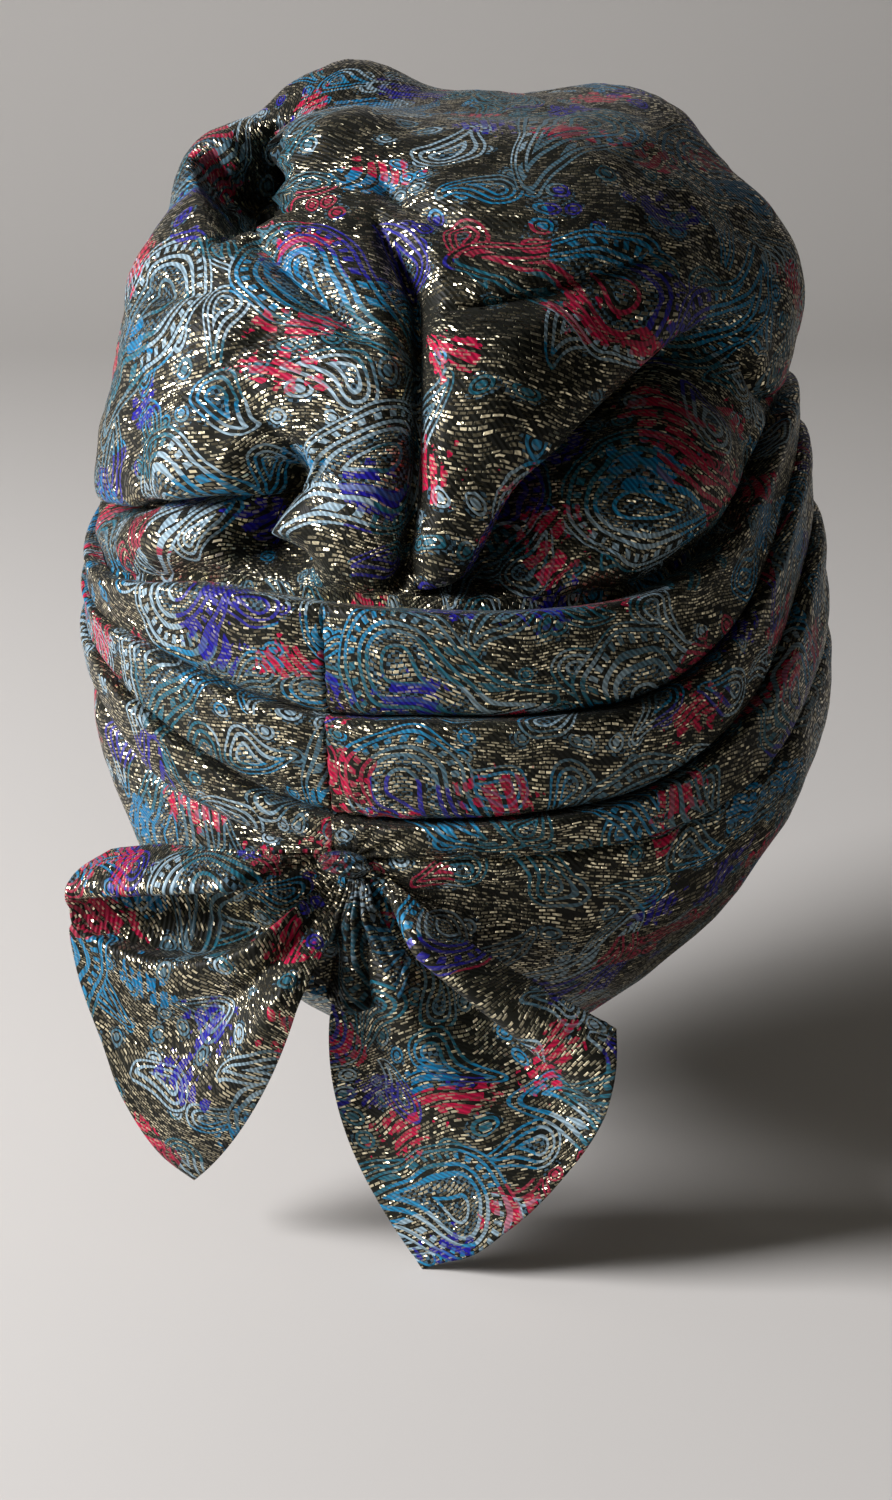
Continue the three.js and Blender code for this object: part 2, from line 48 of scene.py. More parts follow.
# station, rise, then the shares of the reach to the left, right, back and front
BODY = np.array([
    [0.0, 0.0, 0.48, 0.48, 0.54, 0.54],
    [0.1, 0.075, 0.67, 0.66, 0.72, 0.7],
    [0.2, 0.18, 0.86, 0.86, 0.88, 0.88],
    [0.3, 0.284, 0.96, 0.97, 0.96, 0.95],
    [0.4, 0.394, 1.0, 0.97, 0.99, 0.98],
    [0.5, 0.503, 0.99, 0.92, 1.0, 1.0],
    [0.6, 0.613, 0.95, 0.86, 0.99, 1.0],
    [0.7, 0.723, 0.9, 0.82, 0.95, 0.98],
    [0.78, 0.806, 0.86, 0.79, 0.86, 0.93],
    [0.86, 0.887, 0.76, 0.71, 0.71, 0.81],
    [0.92, 0.942, 0.63, 0.58, 0.54, 0.65],
    [0.97, 0.981, 0.42, 0.41, 0.34, 0.44],
    [1.0, 1.0, 0.0, 0.0, 0.0, 0.0],
])


def curve(knots, values, place):
    """A smooth curve through the values at the knots, read at each place."""
    knots, values = np.asarray(knots, float), np.asarray(values, float)
    place = np.clip(place, knots[0], knots[-1])
    index = np.arange(len(knots))
    before, after = np.maximum(index - 1, 0), np.minimum(index + 1, len(knots) - 1)
    slope = (values[after] - values[before]) / (knots[after] - knots[before])
    i = np.clip(np.searchsorted(knots, place) - 1, 0, len(knots) - 2)
    span = knots[i + 1] - knots[i]
    t = (place - knots[i]) / span
    return (
        (2 * t**3 - 3 * t**2 + 1) * values[i]
        + (t**3 - 2 * t**2 + t) * span * slope[i]
        + (3 * t**2 - 2 * t**3) * values[i + 1]
        + (t**3 - t**2) * span * slope[i + 1]
    )


def on_head(azimuth, station):
    """The point of the head form at an azimuth, in degrees from the centre back towards -X, and a station."""
    azimuth, station = np.broadcast_arrays(np.asarray(azimuth, float), np.asarray(station, float))
    rise, left, right, back, front = (
        np.maximum(0, curve(BODY[:, 0], BODY[:, c], station)) for c in range(1, 6)
    )
    s, c = np.sin(np.radians(azimuth)), np.cos(np.radians(azimuth))
    side = np.maximum(SIDE_REACH * np.where(s > 0, right, left), 1e-6)
    depth = np.maximum(np.where(c > 0, BACK_REACH * back, FRONT_REACH * front), 1e-6)
    reach = ((np.abs(s) / side) ** SQUARENESS + (np.abs(c) / depth) ** SQUARENESS) ** (-1 / SQUARENESS)
    return np.stack([-s * reach, c * reach, -NAPE_DROP + HEAD_HEIGHT * rise], -1)


def off_head(azimuth, station):
    """The way straight out of the head form."""
    azimuth, station = np.broadcast_arrays(np.asarray(azimuth, float), np.asarray(station, float))
    low, high = np.maximum(0, station - 0.01), np.minimum(0.995, station + 0.01)
    way = np.cross(
        on_head(azimuth + 1, station) - on_head(azimuth - 1, station),
        on_head(azimuth, high) - on_head(azimuth, low),
    )
    way /= np.maximum(np.linalg.norm(way, axis=-1, keepdims=True), 1e-9)
    way[station > 0.995] = (0, 0, 1)
    return way


def ease(low, high, x):
    """Runs smoothly from 0 at the low end to 1 at the high end."""
    t = np.clip((x - low) / max(high - low, 1e-9), 0, 1)
    return t * t * (3 - 2 * t)


def ripple(place, size, seed):
    """Gentle waves of about that size, in millimetres, from -1 to 1."""
    dice = np.random.default_rng(seed)
    total = 0
    for _ in range(9):
        way = dice.normal(size=3)
        way *= 2 * math.pi / (np.linalg.norm(way) * size * dice.uniform(0.7, 1.5))
        total = total + np.cos(place @ way + dice.uniform(0, 6.28))
    return total / 3


# The folds: name, depth, reach to the left and to the right of the line (as it runs, seen from outside),
# width of the hollow's floor, roundness of the shoulders (1 is a plain V), how far the left shoulder hangs
# over to the right (or, below zero, the right one to the left), fades at the start and end, and the line
# itself as azimuths and stations. Lengths are in millimetres.
FOLDS = [
    ("centre fold", 25, 14, 12, 0.8, 1.7, 4.5, 0.01, 0.4,
     [(10, 0.55), (11, 0.59), (12, 0.63), (12, 0.675), (12, 0.725), (11, 0.785), (8, 0.84), (-3, 0.905)]),
    ("right drape", 34, 13, 36, 7.0, 1.6, 7.0, 0.01, 0.3,
     [(14, 0.545), (19, 0.565), (23, 0.60), (27, 0.642), (32, 0.672), (38, 0.70), (47, 0.732),
      (60, 0.762), (84, 0.75)]),
    ("top edge", 5, 5, 13, 0.5, 1.7, 3.0, 0.2, 0.35,
     [(13, 0.80), (19, 0.805), (28, 0.818), (38, 0.83), (50, 0.84), (66, 0.85)]),
    ("pocket", 54, 15, 16, 8.0, 1.8, 0.0, 0.05, 0.3,
     [(-23, 0.860), (-27, 0.875), (-33, 0.888), (-40, 0.902), (-49, 0.914), (-60, 0.922)]),
    ("pocket lip", 36, 7, 18, 4.0, 1.8, 0.0, 0.1, 0.3,
     [(-24, 0.860), (-33, 0.878), (-44, 0.892), (-55, 0.899), (-66, 0.90)]),
    ("pocket ridge", 52, 20, 7, 6.0, 1.6, -7.0, 0.08, 0.25,
     [(-22, 0.874), (-26, 0.892), (-32, 0.912), (-41, 0.93), (-53, 0.944), (-66, 0.954)]),
    ("pocket tail", 7, 9, 12, 0.5, 1.7, 0.0, 0.1, 0.35,
     [(-24, 0.862), (-15, 0.84), (-5, 0.812), (3, 0.785), (10, 0.752)]),
    ("left flap", 20, 9, 14, 1.0, 1.8, 6.0, 0.2, 0.25,
     [(-60, 0.565), (-41, 0.588), (-32, 0.605), (-22, 0.62), (-13, 0.63), (-6, 0.634), (0, 0.655),
      (1, 0.69)]),
    ("left hollow", 29, 13, 15, 4.0, 1.5, 0.0, 0.3, 0.35,
     [(-1, 0.69), (-4, 0.665), (-6, 0.645), (-8, 0.622), (-10, 0.60), (-9, 0.582), (-3, 0.572), (3, 0.566)]),
    ("top back", 5, 10, 14, 0.5, 1.6, 0.0, 0.2, 0.5,
     [(-8, 0.93), (6, 0.90), (20, 0.875), (40, 0.87)]),
    ("left soft fold", 3.5, 9, 11, 0.5, 1.5, 0.0, 0.4, 0.4,
     [(-24, 0.70), (-16, 0.735), (-10, 0.775), (-4, 0.80)]),
    ("right tuck", 6, 9, 13, 0.5, 1.6, 3.0, 0.01, 0.6,
     [(63, 0.565), (70, 0.60), (76, 0.64), (84, 0.68)]),
    ("right shoulder", 10, 10, 14, 1.0, 1.6, 4.0, 0.3, 0.4,
     [(74, 0.745), (84, 0.70), (93, 0.672), (108, 0.655)]),
    ("small tuck", 5, 7, 8, 0.5, 1.7, 2.0, 0.01, 0.7,
     [(30, 0.545), (36, 0.58), (44, 0.61), (50, 0.64)]),
    ("hollow crease", 4.5, 7, 9, 0.5, 1.6, 0.0, 0.3, 0.5,
     [(-2, 0.66), (-8, 0.70), (-14, 0.715), (-24, 0.71)]),
    ("left brow", 3.5, 8, 10, 0.5, 1.6, 0.0, 0.3, 0.5,
     [(-46, 0.80), (-36, 0.79), (-24, 0.80), (-14, 0.815)]),
    ("front left tuck", 7, 12, 12, 0.5, 1.6, 0.0, 0.01, 0.6,
     [(-98, 0.57), (-94, 0.63), (-86, 0.70), (-80, 0.76)]),
    ("front left fold", 8, 13, 13, 0.5, 1.6, 0.0, 0.01, 0.6,
     [(-130, 0.61), (-124, 0.68), (-116, 0.76), (-110, 0.84)]),
    ("front fold", 8, 14, 12, 0.5, 1.6, 0.0, 0.01, 0.6,
     [(-166, 0.62), (-162, 0.69), (-158, 0.77), (-160, 0.86)]),
    ("front right fold", 9, 12, 14, 0.5, 1.6, 0.0, 0.01, 0.6,
     [(160, 0.635), (154, 0.70), (150, 0.77), (152, 0.85)]),
    ("front right tuck", 7, 12, 12, 0.5, 1.6, 0.0, 0.01, 0.6,
     [(128, 0.66), (124, 0.72), (118, 0.78), (112, 0.83)]),
]
# Where the cloth stands puffed out: azimuth, station, how far, over what reach
PUFFS = [
    (-26, 0.95, 7, 32), (-92, 0.974, 14, 34), (-48, 0.82, 3, 34), (-20, 0.76, 6.5, 38), (-80, 0.94, 4, 24),
    (-70, 0.895, 9, 26), (24, 0.75, 6, 33), (54, 0.65, 8, 38), (102, 0.79, 8, 42), (132, 0.965, 7, 46),
    (-20, 0.655, 5, 22), (20, 0.575, 3, 16),
]


def lay(path):
    """A fold's line laid on the head form, and the share of its length reached at each point."""
    azimuth, station = np.array(path, float).T
    steps = np.linspace(0, len(path) - 1, 5 * (len(path) - 1) + 1)
    knots = np.arange(len(path))
    points = on_head(curve(knots, azimuth, steps), curve(knots, station, steps))
    lengths = np.concatenate([[0], np.cumsum(np.linalg.norm(np.diff(points, axis=0), axis=1))])
    return points, lengths / lengths[-1]


def fold(place, way, line, depth, left, right, width, roundness, lean, start, end):
    """How far in one fold draws the cloth at each place, and how far sideways."""
    points, shares = line
    reach = max(left, right)
    flat, out_way = place.reshape(-1, 3), way.reshape(-1, 3)
    low, high = points.min(0) - reach, points.max(0) + reach
    near = np.flatnonzero(((flat > low) & (flat < high)).all(1))
    sunk, moved = np.zeros(len(flat)), np.zeros((len(flat), 3))
    if not len(near):
        return sunk.reshape(place.shape[:-1]), moved.reshape(place.shape)
    p = flat[near]
    best, share = np.full(len(near), 1e9), np.zeros(len(near))
    rel, along = np.zeros((len(near), 3)), np.zeros((len(near), 3))
    for k in range(len(points) - 1):
        ab = points[k + 1] - points[k]
        t = np.clip((p - points[k]) @ ab / (ab @ ab), 0, 1)
        off = p - points[k] - t[:, None] * ab
        d = (off**2).sum(1)
        hit = d < best
        best[hit], rel[hit], along[hit] = d[hit], off[hit], ab / np.linalg.norm(ab)
        share[hit] = (shares[k] + t * (shares[k + 1] - shares[k]))[hit]
    d = np.sqrt(best)
    leftward = np.cross(out_way[near], along)
    side = (rel * leftward).sum(1)
    # the reach changes smoothly round the fold's end, where left turns into right
    on_left = 0.5 + 0.5 * np.clip(side / np.maximum(d, 1e-6) * 1.6, -1, 1)
    reach, floor_width = right + (left - right) * on_left, width * (1 - 0.7 * on_left)
    t = np.maximum(0, np.sqrt(d**2 + 0.5**2) - 0.5 - floor_width) / (reach - floor_width)
    t = np.clip(t, 0, 1)
    fade = ease(0, start, share) * (1 - ease(1 - end, 1, share))
    fade *= 1 - 0.18 * (0.5 + 0.5 * ripple(p, 24, int(depth * 10)))
    level = np.maximum(0, 1 - (1 - t) ** roundness) ** (1 / roundness)
    sunk[near] = depth * fade * (1 - level)
    leaning = ease(0.5, 0.9, on_left) if lean > 0 else 1 - ease(0.1, 0.5, on_left)
    moved[near] = -leftward * (lean * fade * leaning * np.sin(math.pi * t))[:, None]
    return sunk.reshape(place.shape[:-1]), moved.reshape(place.shape)


# The pocket goes forward and down into the crown. Every other fold goes in square to the head form.
POCKET_WAY = np.array([0.25, -0.87, -0.42])
FOLD_LINES = [(lay(path), numbers, POCKET_WAY if name in ("pocket", "pocket lip", "pocket ridge") else None)
              for name, *numbers, path in FOLDS]
# Short plain gathers round the sides and front: how many, how deep, and the height over which they fade
GATHERS, GATHER_DEPTH, GATHER_HEIGHT = 26, 4.5, 26.0


def drape(place, way):
    """The crown's cloth at each place of the head form."""
    sunk, drawn, moved = 1e-9, 0, 0
    for line, numbers, toward in FOLD_LINES:
        inward, sideways = fold(place, way, line, *numbers)
        sunk, moved = sunk + inward**3, moved + sideways
        if toward is not None:
            drawn = drawn + (inward**3)[..., None] * (toward + way)
    out = -np.cbrt(sunk)
    moved = moved - drawn * (out / sunk)[..., None]
    for azimuth, station, far, reach in PUFFS:
        t = np.linalg.norm(place - on_head(azimuth, station), axis=-1) / reach
        out = out + far * np.clip(1 - t * t, 0, 1) ** 2
    out = out + 0.9 * ripple(place, 52, 3) + 0.35 * ripple(place, 19, 4) + 0.12 * ripple(place, 8, 5)
    return out, moved


# The band's lines, by azimuth: its hem, the line where the ties draw it in, the upper edges of its three
# pleats, how deep the pleats are, and how far the hem is drawn in.
BAND = np.array([
    [-180, 0.375, 0.445, 0.505, 0.565, 0.625, 0.35, 0.3],
    [-145, 0.3, 0.43, 0.495, 0.555, 0.61, 0.45, 0.85],
    [-118, 0.2, 0.42, 0.487, 0.545, 0.597, 0.5, 0.95],
    [-92, 0.1, 0.405, 0.475, 0.525, 0.572, 0.65, 0.3],
    [-70, 0.04, 0.395, 0.46, 0.508, 0.55, 0.8, 0.0],
    [-42, 0.0, 0.38, 0.437, 0.48, 0.52, 0.9, 0.0],
    [-28, 0.0, 0.335, 0.405, 0.473, 0.53, 1.0, 0.0],
    [-18, 0.0, 0.318, 0.375, 0.458, 0.542, 1.0, 0.0],
    [-8, 0.0, 0.303, 0.348, 0.441, 0.543, 1.0, 0.0],
    [2, 0.0, 0.295, 0.336, 0.434, 0.54, 0.9, 0.0],
    [15, 0.0, 0.3, 0.338, 0.44, 0.54, 1.0, 0.0],
    [30, 0.0, 0.307, 0.347, 0.442, 0.54, 1.0, 0.0],
    [45, 0.0, 0.312, 0.36, 0.448, 0.543, 1.0, 0.0],
    [60, 0.0, 0.325, 0.395, 0.48, 0.563, 1.0, 0.0],
    [75, 0.02, 0.35, 0.44, 0.53, 0.6, 1.0, 0.0],
    [95, 0.1, 0.39, 0.5, 0.585, 0.645, 0.9, 0.3],
    [118, 0.2, 0.42, 0.53, 0.615, 0.665, 0.7, 0.95],
    [145, 0.3, 0.44, 0.525, 0.595, 0.65, 0.5, 0.85],
    [180, 0.375, 0.445, 0.505, 0.565, 0.625, 0.35, 0.3],
])
HEM, DRAWN, LOW, MIDDLE, TOP, RELIEF, DRAW = range(1, 8)
PLEAT_OUT, PLEAT_IN, FULL_SPACING = 5.0, 8.0, 30.0


def band_line(column, azimuth):
    """One column of the band's table, read at each azimuth and joined smoothly at the centre front."""
    round_it = np.concatenate([BAND[-2:-1, 0] - 360, BAND[:, 0], BAND[1:2, 0] + 360])
    level = np.concatenate([BAND[-2:-1, column], BAND[:, column], BAND[1:2, column]])
    return curve(round_it, level, (np.asarray(azimuth, float) + 180) % 360 - 180)


def climb(low, high):
    """How many millimetres one station lies above another."""
    return (curve(BODY[:, 0], BODY[:, 1], high) - curve(BODY[:, 0], BODY[:, 1], low)) * HEAD_HEIGHT


def fullness(low, high):
    """How fully a pleat between two stations can stand out."""
    return np.minimum(1, climb(low, high) / FULL_SPACING)


# The columns run once round from the centre front, closer together at the back where the folds are.
turn = np.linspace(0, 1, 421)
crown_turn = -180 + 360 * (turn - 0.075 * np.sin(4 * math.pi * turn))
# The crown's foot is tucked in behind the band's upper edge.
TUCK_HEIGHT = 13.0
band_middle, band_top = band_line(MIDDLE, crown_turn), band_line(TOP, crown_turn)
foot = band_top + 0.1 * (band_top - band_middle)
tuck_in = PLEAT_IN * band_line(RELIEF, crown_turn) * np.sqrt(fullness(band_middle, band_top))
share = np.concatenate([[-0.05, -0.025], np.linspace(0, 1, 151) ** 1.12])
azimuth = np.broadcast_to(crown_turn[:, None], (len(crown_turn), len(share)))
station = foot[:, None] + (1 - foot[:, None]) * share
place, way = on_head(azimuth, station), off_head(azimuth, station)
out, moved = drape(place, way)
above = climb(foot[:, None], station)
tucked = np.clip(1 - above / TUCK_HEIGHT, 0, 1) ** 2
# plain gathers at the sides and front, dying out upwards
front = ease(100, 125, np.abs(azimuth - 8))
gather = np.maximum(0, np.cos(np.radians(azimuth) * GATHERS + 1.5 * np.sin(np.radians(azimuth) * 7))) ** 3
out = out - GATHER_DEPTH * front * gather * np.exp(-above / GATHER_HEIGHT)
out = out * (1 - tucked) - tuck_in[:, None] * tucked
moved = moved * (1 - tucked)[..., None]
crown_points = place + way * out[..., None] + moved
crown_points[0] = crown_points[-1]
crown_points[:, -1] = crown_points[:, -1].mean(0)


def placed(name, data):
    """A new object in the scene, with that mesh, lamp or camera."""
    thing = bpy.data.objects.new(name, data)
    bpy.context.scene.collection.objects.link(thing)
    return thing


def flatten(points, steps, seed):
    """Lays a draped sheet out flat, as it was cut: its own length across and up at each point, in metres."""
    pick = [np.unique(np.linspace(0, n - 1, min(n, m)).round().astype(int))
            for n, m in zip(points.shape, steps)]
    coarse = points[np.ix_(*pick)]
    columns, rows = coarse.shape[:2]
    number = np.arange(columns * rows).reshape(columns, rows)
    pole = np.linalg.norm(coarse[:, -1] - coarse[0, -1], axis=1).max() < 1e-3
    if pole:
        number[:, -1] = number[0, -1]
    quads = np.stack([number[:-1, :-1], number[1:, :-1], number[1:, 1:], number[:-1, 1:]], -1).reshape(-1, 4)
    faces = [tuple(dict.fromkeys(q)) for q in quads.tolist()]
    mesh = bpy.data.meshes.new("pattern piece")
    mesh.from_pydata(coarse.reshape(-1, 3).tolist(), [], faces)
    mesh.uv_layers.new(name="flat")
    piece = placed("pattern piece", mesh)
    bpy.context.view_layer.objects.active = piece
    piece.select_set(True)
    bpy.ops.object.mode_set(mode="EDIT")
    bpy.ops.mesh.select_all(action="SELECT")
    bpy.ops.uv.unwrap(method="MINIMUM_STRETCH", margin=0.0)
    bpy.ops.object.mode_set(mode="OBJECT")
    corner_uv = np.zeros(len(mesh.loops) * 2, np.float32)
    mesh.uv_layers["flat"].data.foreach_get("uv", corner_uv)
    corner_vertex = np.zeros(len(mesh.loops), np.int32)
    mesh.loops.foreach_get("vertex_index", corner_vertex)
    uv = np.zeros((columns * rows, 2))
    uv[corner_vertex] = corner_uv.reshape(-1, 2)
    uv = uv[number]
    bpy.data.objects.remove(piece)
    bpy.data.meshes.remove(mesh)
    # real size: the flat area is the draped area
    def area(p):
        a, b = p[1:, 1:] - p[:-1, :-1], p[1:, :-1] - p[:-1, 1:]
        if p.shape[-1] == 2:
            return np.abs(a[..., 0] * b[..., 1] - a[..., 1] * b[..., 0]).sum() / 2
        return np.linalg.norm(np.cross(a, b), axis=-1).sum() / 2
    uv *= math.sqrt(area(coarse) / area(uv)) * 0.001
    # turned so that the middle column stands upright
    middle = columns // 2
    up = uv[middle, rows // 2] - uv[middle, 0]
    angle = math.pi / 2 - math.atan2(up[1], up[0])
    uv = uv @ np.array([[math.cos(angle), math.sin(angle)], [-math.sin(angle), math.cos(angle)]])
    across = uv[middle + 1, 0] - uv[middle - 1, 0]
    if across[0] < 0:
        uv[..., 0] *= -1
    uv -= uv.reshape(-1, 2).min(0)
    size = uv.reshape(-1, 2).max(0)
    flat_area = area(uv)
    # back onto every point of the fine sheet
    full = [np.arange(n) for n in points.shape[:2]]
    wide = np.stack([[np.interp(full[0], pick[0], uv[:, j, k]) for j in range(rows)] for k in (0, 1)], -1)
    fine = np.stack([[np.interp(full[1], pick[1], wide[:, i, k]) for i in full[0]] for k in (0, 1)], -1)
    return fine + np.random.default_rng(seed).uniform(0, 3, 2), size, flat_area


def sheet_object(name, points, uv, welded=False, pole=False):
    """A grid of points, in millimetres, as one smooth sheet with its cloth laid out in a UV map."""
    columns, rows = points.shape[:2]
    number = np.arange(columns * rows).reshape(columns, rows)
    if welded:
        number[-1] = number[0]
    if pole:
        number[:, -1] = number[0, -1]
    grid = np.arange(columns * rows).reshape(columns, rows)
    corners = [np.stack([g[:-1, :-1], g[1:, :-1], g[1:, 1:], g[:-1, 1:]], -1).reshape(-1, 4)
               for g in (number, grid)]
    keep = [[0, 1, 2] if pole and q[2] == q[3] else [0, 1, 2, 3] for q in corners[0].tolist()]
    faces = [[q[k] for k in ks] for q, ks in zip(corners[0].tolist(), keep)]
    looks = np.array([q[k] for q, ks in zip(corners[1].tolist(), keep) for k in ks])
    used, inverse = np.unique(np.concatenate([np.array(f) for f in faces]), return_inverse=True)
    lengths = np.cumsum([0] + [len(f) for f in faces])
    mesh = bpy.data.meshes.new(name)
    mesh.from_pydata((points.reshape(-1, 3)[used] * 0.001).tolist(), [],
                     [inverse[a:b].tolist() for a, b in zip(lengths[:-1], lengths[1:])])
    layer = mesh.uv_layers.new(name="cloth")
    layer.data.foreach_set("uv", uv.reshape(-1, 2)[looks].astype(np.float32).ravel())
    mesh.polygons.foreach_set("use_smooth", np.ones(len(mesh.polygons), bool))
    return placed(name, mesh)


def dress(piece, material, slot, *nodes):
    """Gives a piece its cloth and its body, and hides the CAD nodes that it stands for."""
    piece.data.materials.append(material)
    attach(piece, "root")
    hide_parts(*nodes)


crown_uv, crown_cut, crown_area = flatten(crown_points, (141, 61), 1)
crown = sheet_object("crown_cloth", crown_points, crown_uv, welded=True, pole=True)


def linear(code):
    """An sRGB hex colour as the linear colour that a shader takes."""
    parts = [int(code[i:i + 2], 16) / 255 for i in (1, 3, 5)]
    return tuple(p / 12.92 if p <= 0.04045 else ((p + 0.055) / 1.055) ** 2.4 for p in parts) + (1.0,)


def add(tree, kind, links=(), out=0, stops=(), **settings):
    """Adds a node of a kind, such as Mix or Math ADD, with its settings and its sockets' links or values, and
    returns one of its outputs."""
    kind, _, operation = kind.partition(" ")
    made = tree.nodes.new("ShaderNode" + kind)
    if operation:
        made.operation = operation
    for name, value in settings.items():
        setattr(made, name, value)
    for socket, value in dict(links).items():
        if isinstance(value, bpy.types.NodeSocket):
            tree.links.new(value, made.inputs[socket])
        else:
            made.inputs[socket].default_value = value
    if stops:
        ramp = made.color_ramp
        ramp.interpolation = "CONSTANT"
        while len(ramp.elements) < len(stops):
            ramp.elements.new(1.0)
        for element, (position, colour) in zip(ramp.elements, stops):
            element.position, element.color = position, colour
    return made.outputs[out]


def paisley_drop(tree, place, head, tail, curl):
    """How far outside a paisley drop's outline each place is, in millimetres, negative inside."""
    parts = add(tree, "SeparateXYZ", {0: place}).node.outputs
    x, y = parts[0], parts[1]
    high = add(tree, "Math MAXIMUM", {0: y, 1: 0.0})
    bent = add(tree, "Math MULTIPLY", {0: high, 1: high})
    x = add(tree, "Math MULTIPLY_ADD", {0: bent, 1: curl / tail**2, 2: x})
    x = add(tree, "Math ABSOLUTE", {0: x})
    slope = (head - 1.0) / tail
    flat = math.sqrt(1 - slope**2)
    y_flat = add(tree, "Math MULTIPLY", {0: y, 1: flat})
    along = add(tree, "Math MULTIPLY_ADD", {0: x, 1: -slope, 2: y_flat})
    y_slope = add(tree, "Math MULTIPLY_ADD", {0: y, 1: slope, 2: -head})
    flank = add(tree, "Math MULTIPLY_ADD", {0: x, 1: flat, 2: y_slope})
    at_head = add(tree, "VectorMath LENGTH", {0: add(tree, "CombineXYZ", {0: x, 1: y})}, out=1)
    at_head = add(tree, "Math SUBTRACT", {0: at_head, 1: head})
    y_tip = add(tree, "Math SUBTRACT", {0: y, 1: tail})
    at_tip = add(tree, "CombineXYZ", {0: x, 1: y_tip})
    at_tip = add(tree, "VectorMath LENGTH", {0: at_tip}, out=1)
    at_tip = add(tree, "Math SUBTRACT", {0: at_tip, 1: 1.0})
    past_head = add(tree, "Math GREATER_THAN", {0: along, 1: 0.0})
    past_tip = add(tree, "Math GREATER_THAN", {0: along, 1: flat * tail})
    body = add(tree, "Mix", {0: past_head, 2: at_head, 3: flank})
    return add(tree, "Mix", {0: past_tip, 2: body, 3: at_tip})


def ringed(tree, distance, low, high, rings):
    """Rings nested round a figure, each from its distance outwards, as the parts of one colour."""
    place = add(tree, "MapRange", {0: distance, 1: low, 2: high})
    stops = [((start - low) / (high - low), part) for start, part in rings]
    return add(tree, "SeparateColor", {0: add(tree, "ValToRGB", {0: place}, stops=stops)}).node.outputs


def scattered(tree, cloth, spacing, shift, randomness=0.45):
    """Places measured from the nearest of many scattered middles, each turned its own way, with a random
    number for that middle and how far off it is."""
    moved = add(tree, "VectorMath ADD", {0: cloth, 1: (shift, shift * 0.7, 0)})
    cells = add(tree, "TexVoronoi", {"Vector": moved, "Scale": 1 / spacing, "Randomness": randomness},
                out="Position", voronoi_dimensions="2D")
    local = add(tree, "VectorMath SUBTRACT", {0: moved, 1: cells})
    chance = add(tree, "SeparateColor", {0: cells.node.outputs["Color"]})
    angle = add(tree, "Math MULTIPLY", {0: chance, 1: 6.28})
    turned = add(tree, "VectorRotate", {"Vector": local, "Angle": angle}, rotation_type="Z_AXIS")
    return turned, chance.node.outputs[1], cells.node.outputs["Distance"]


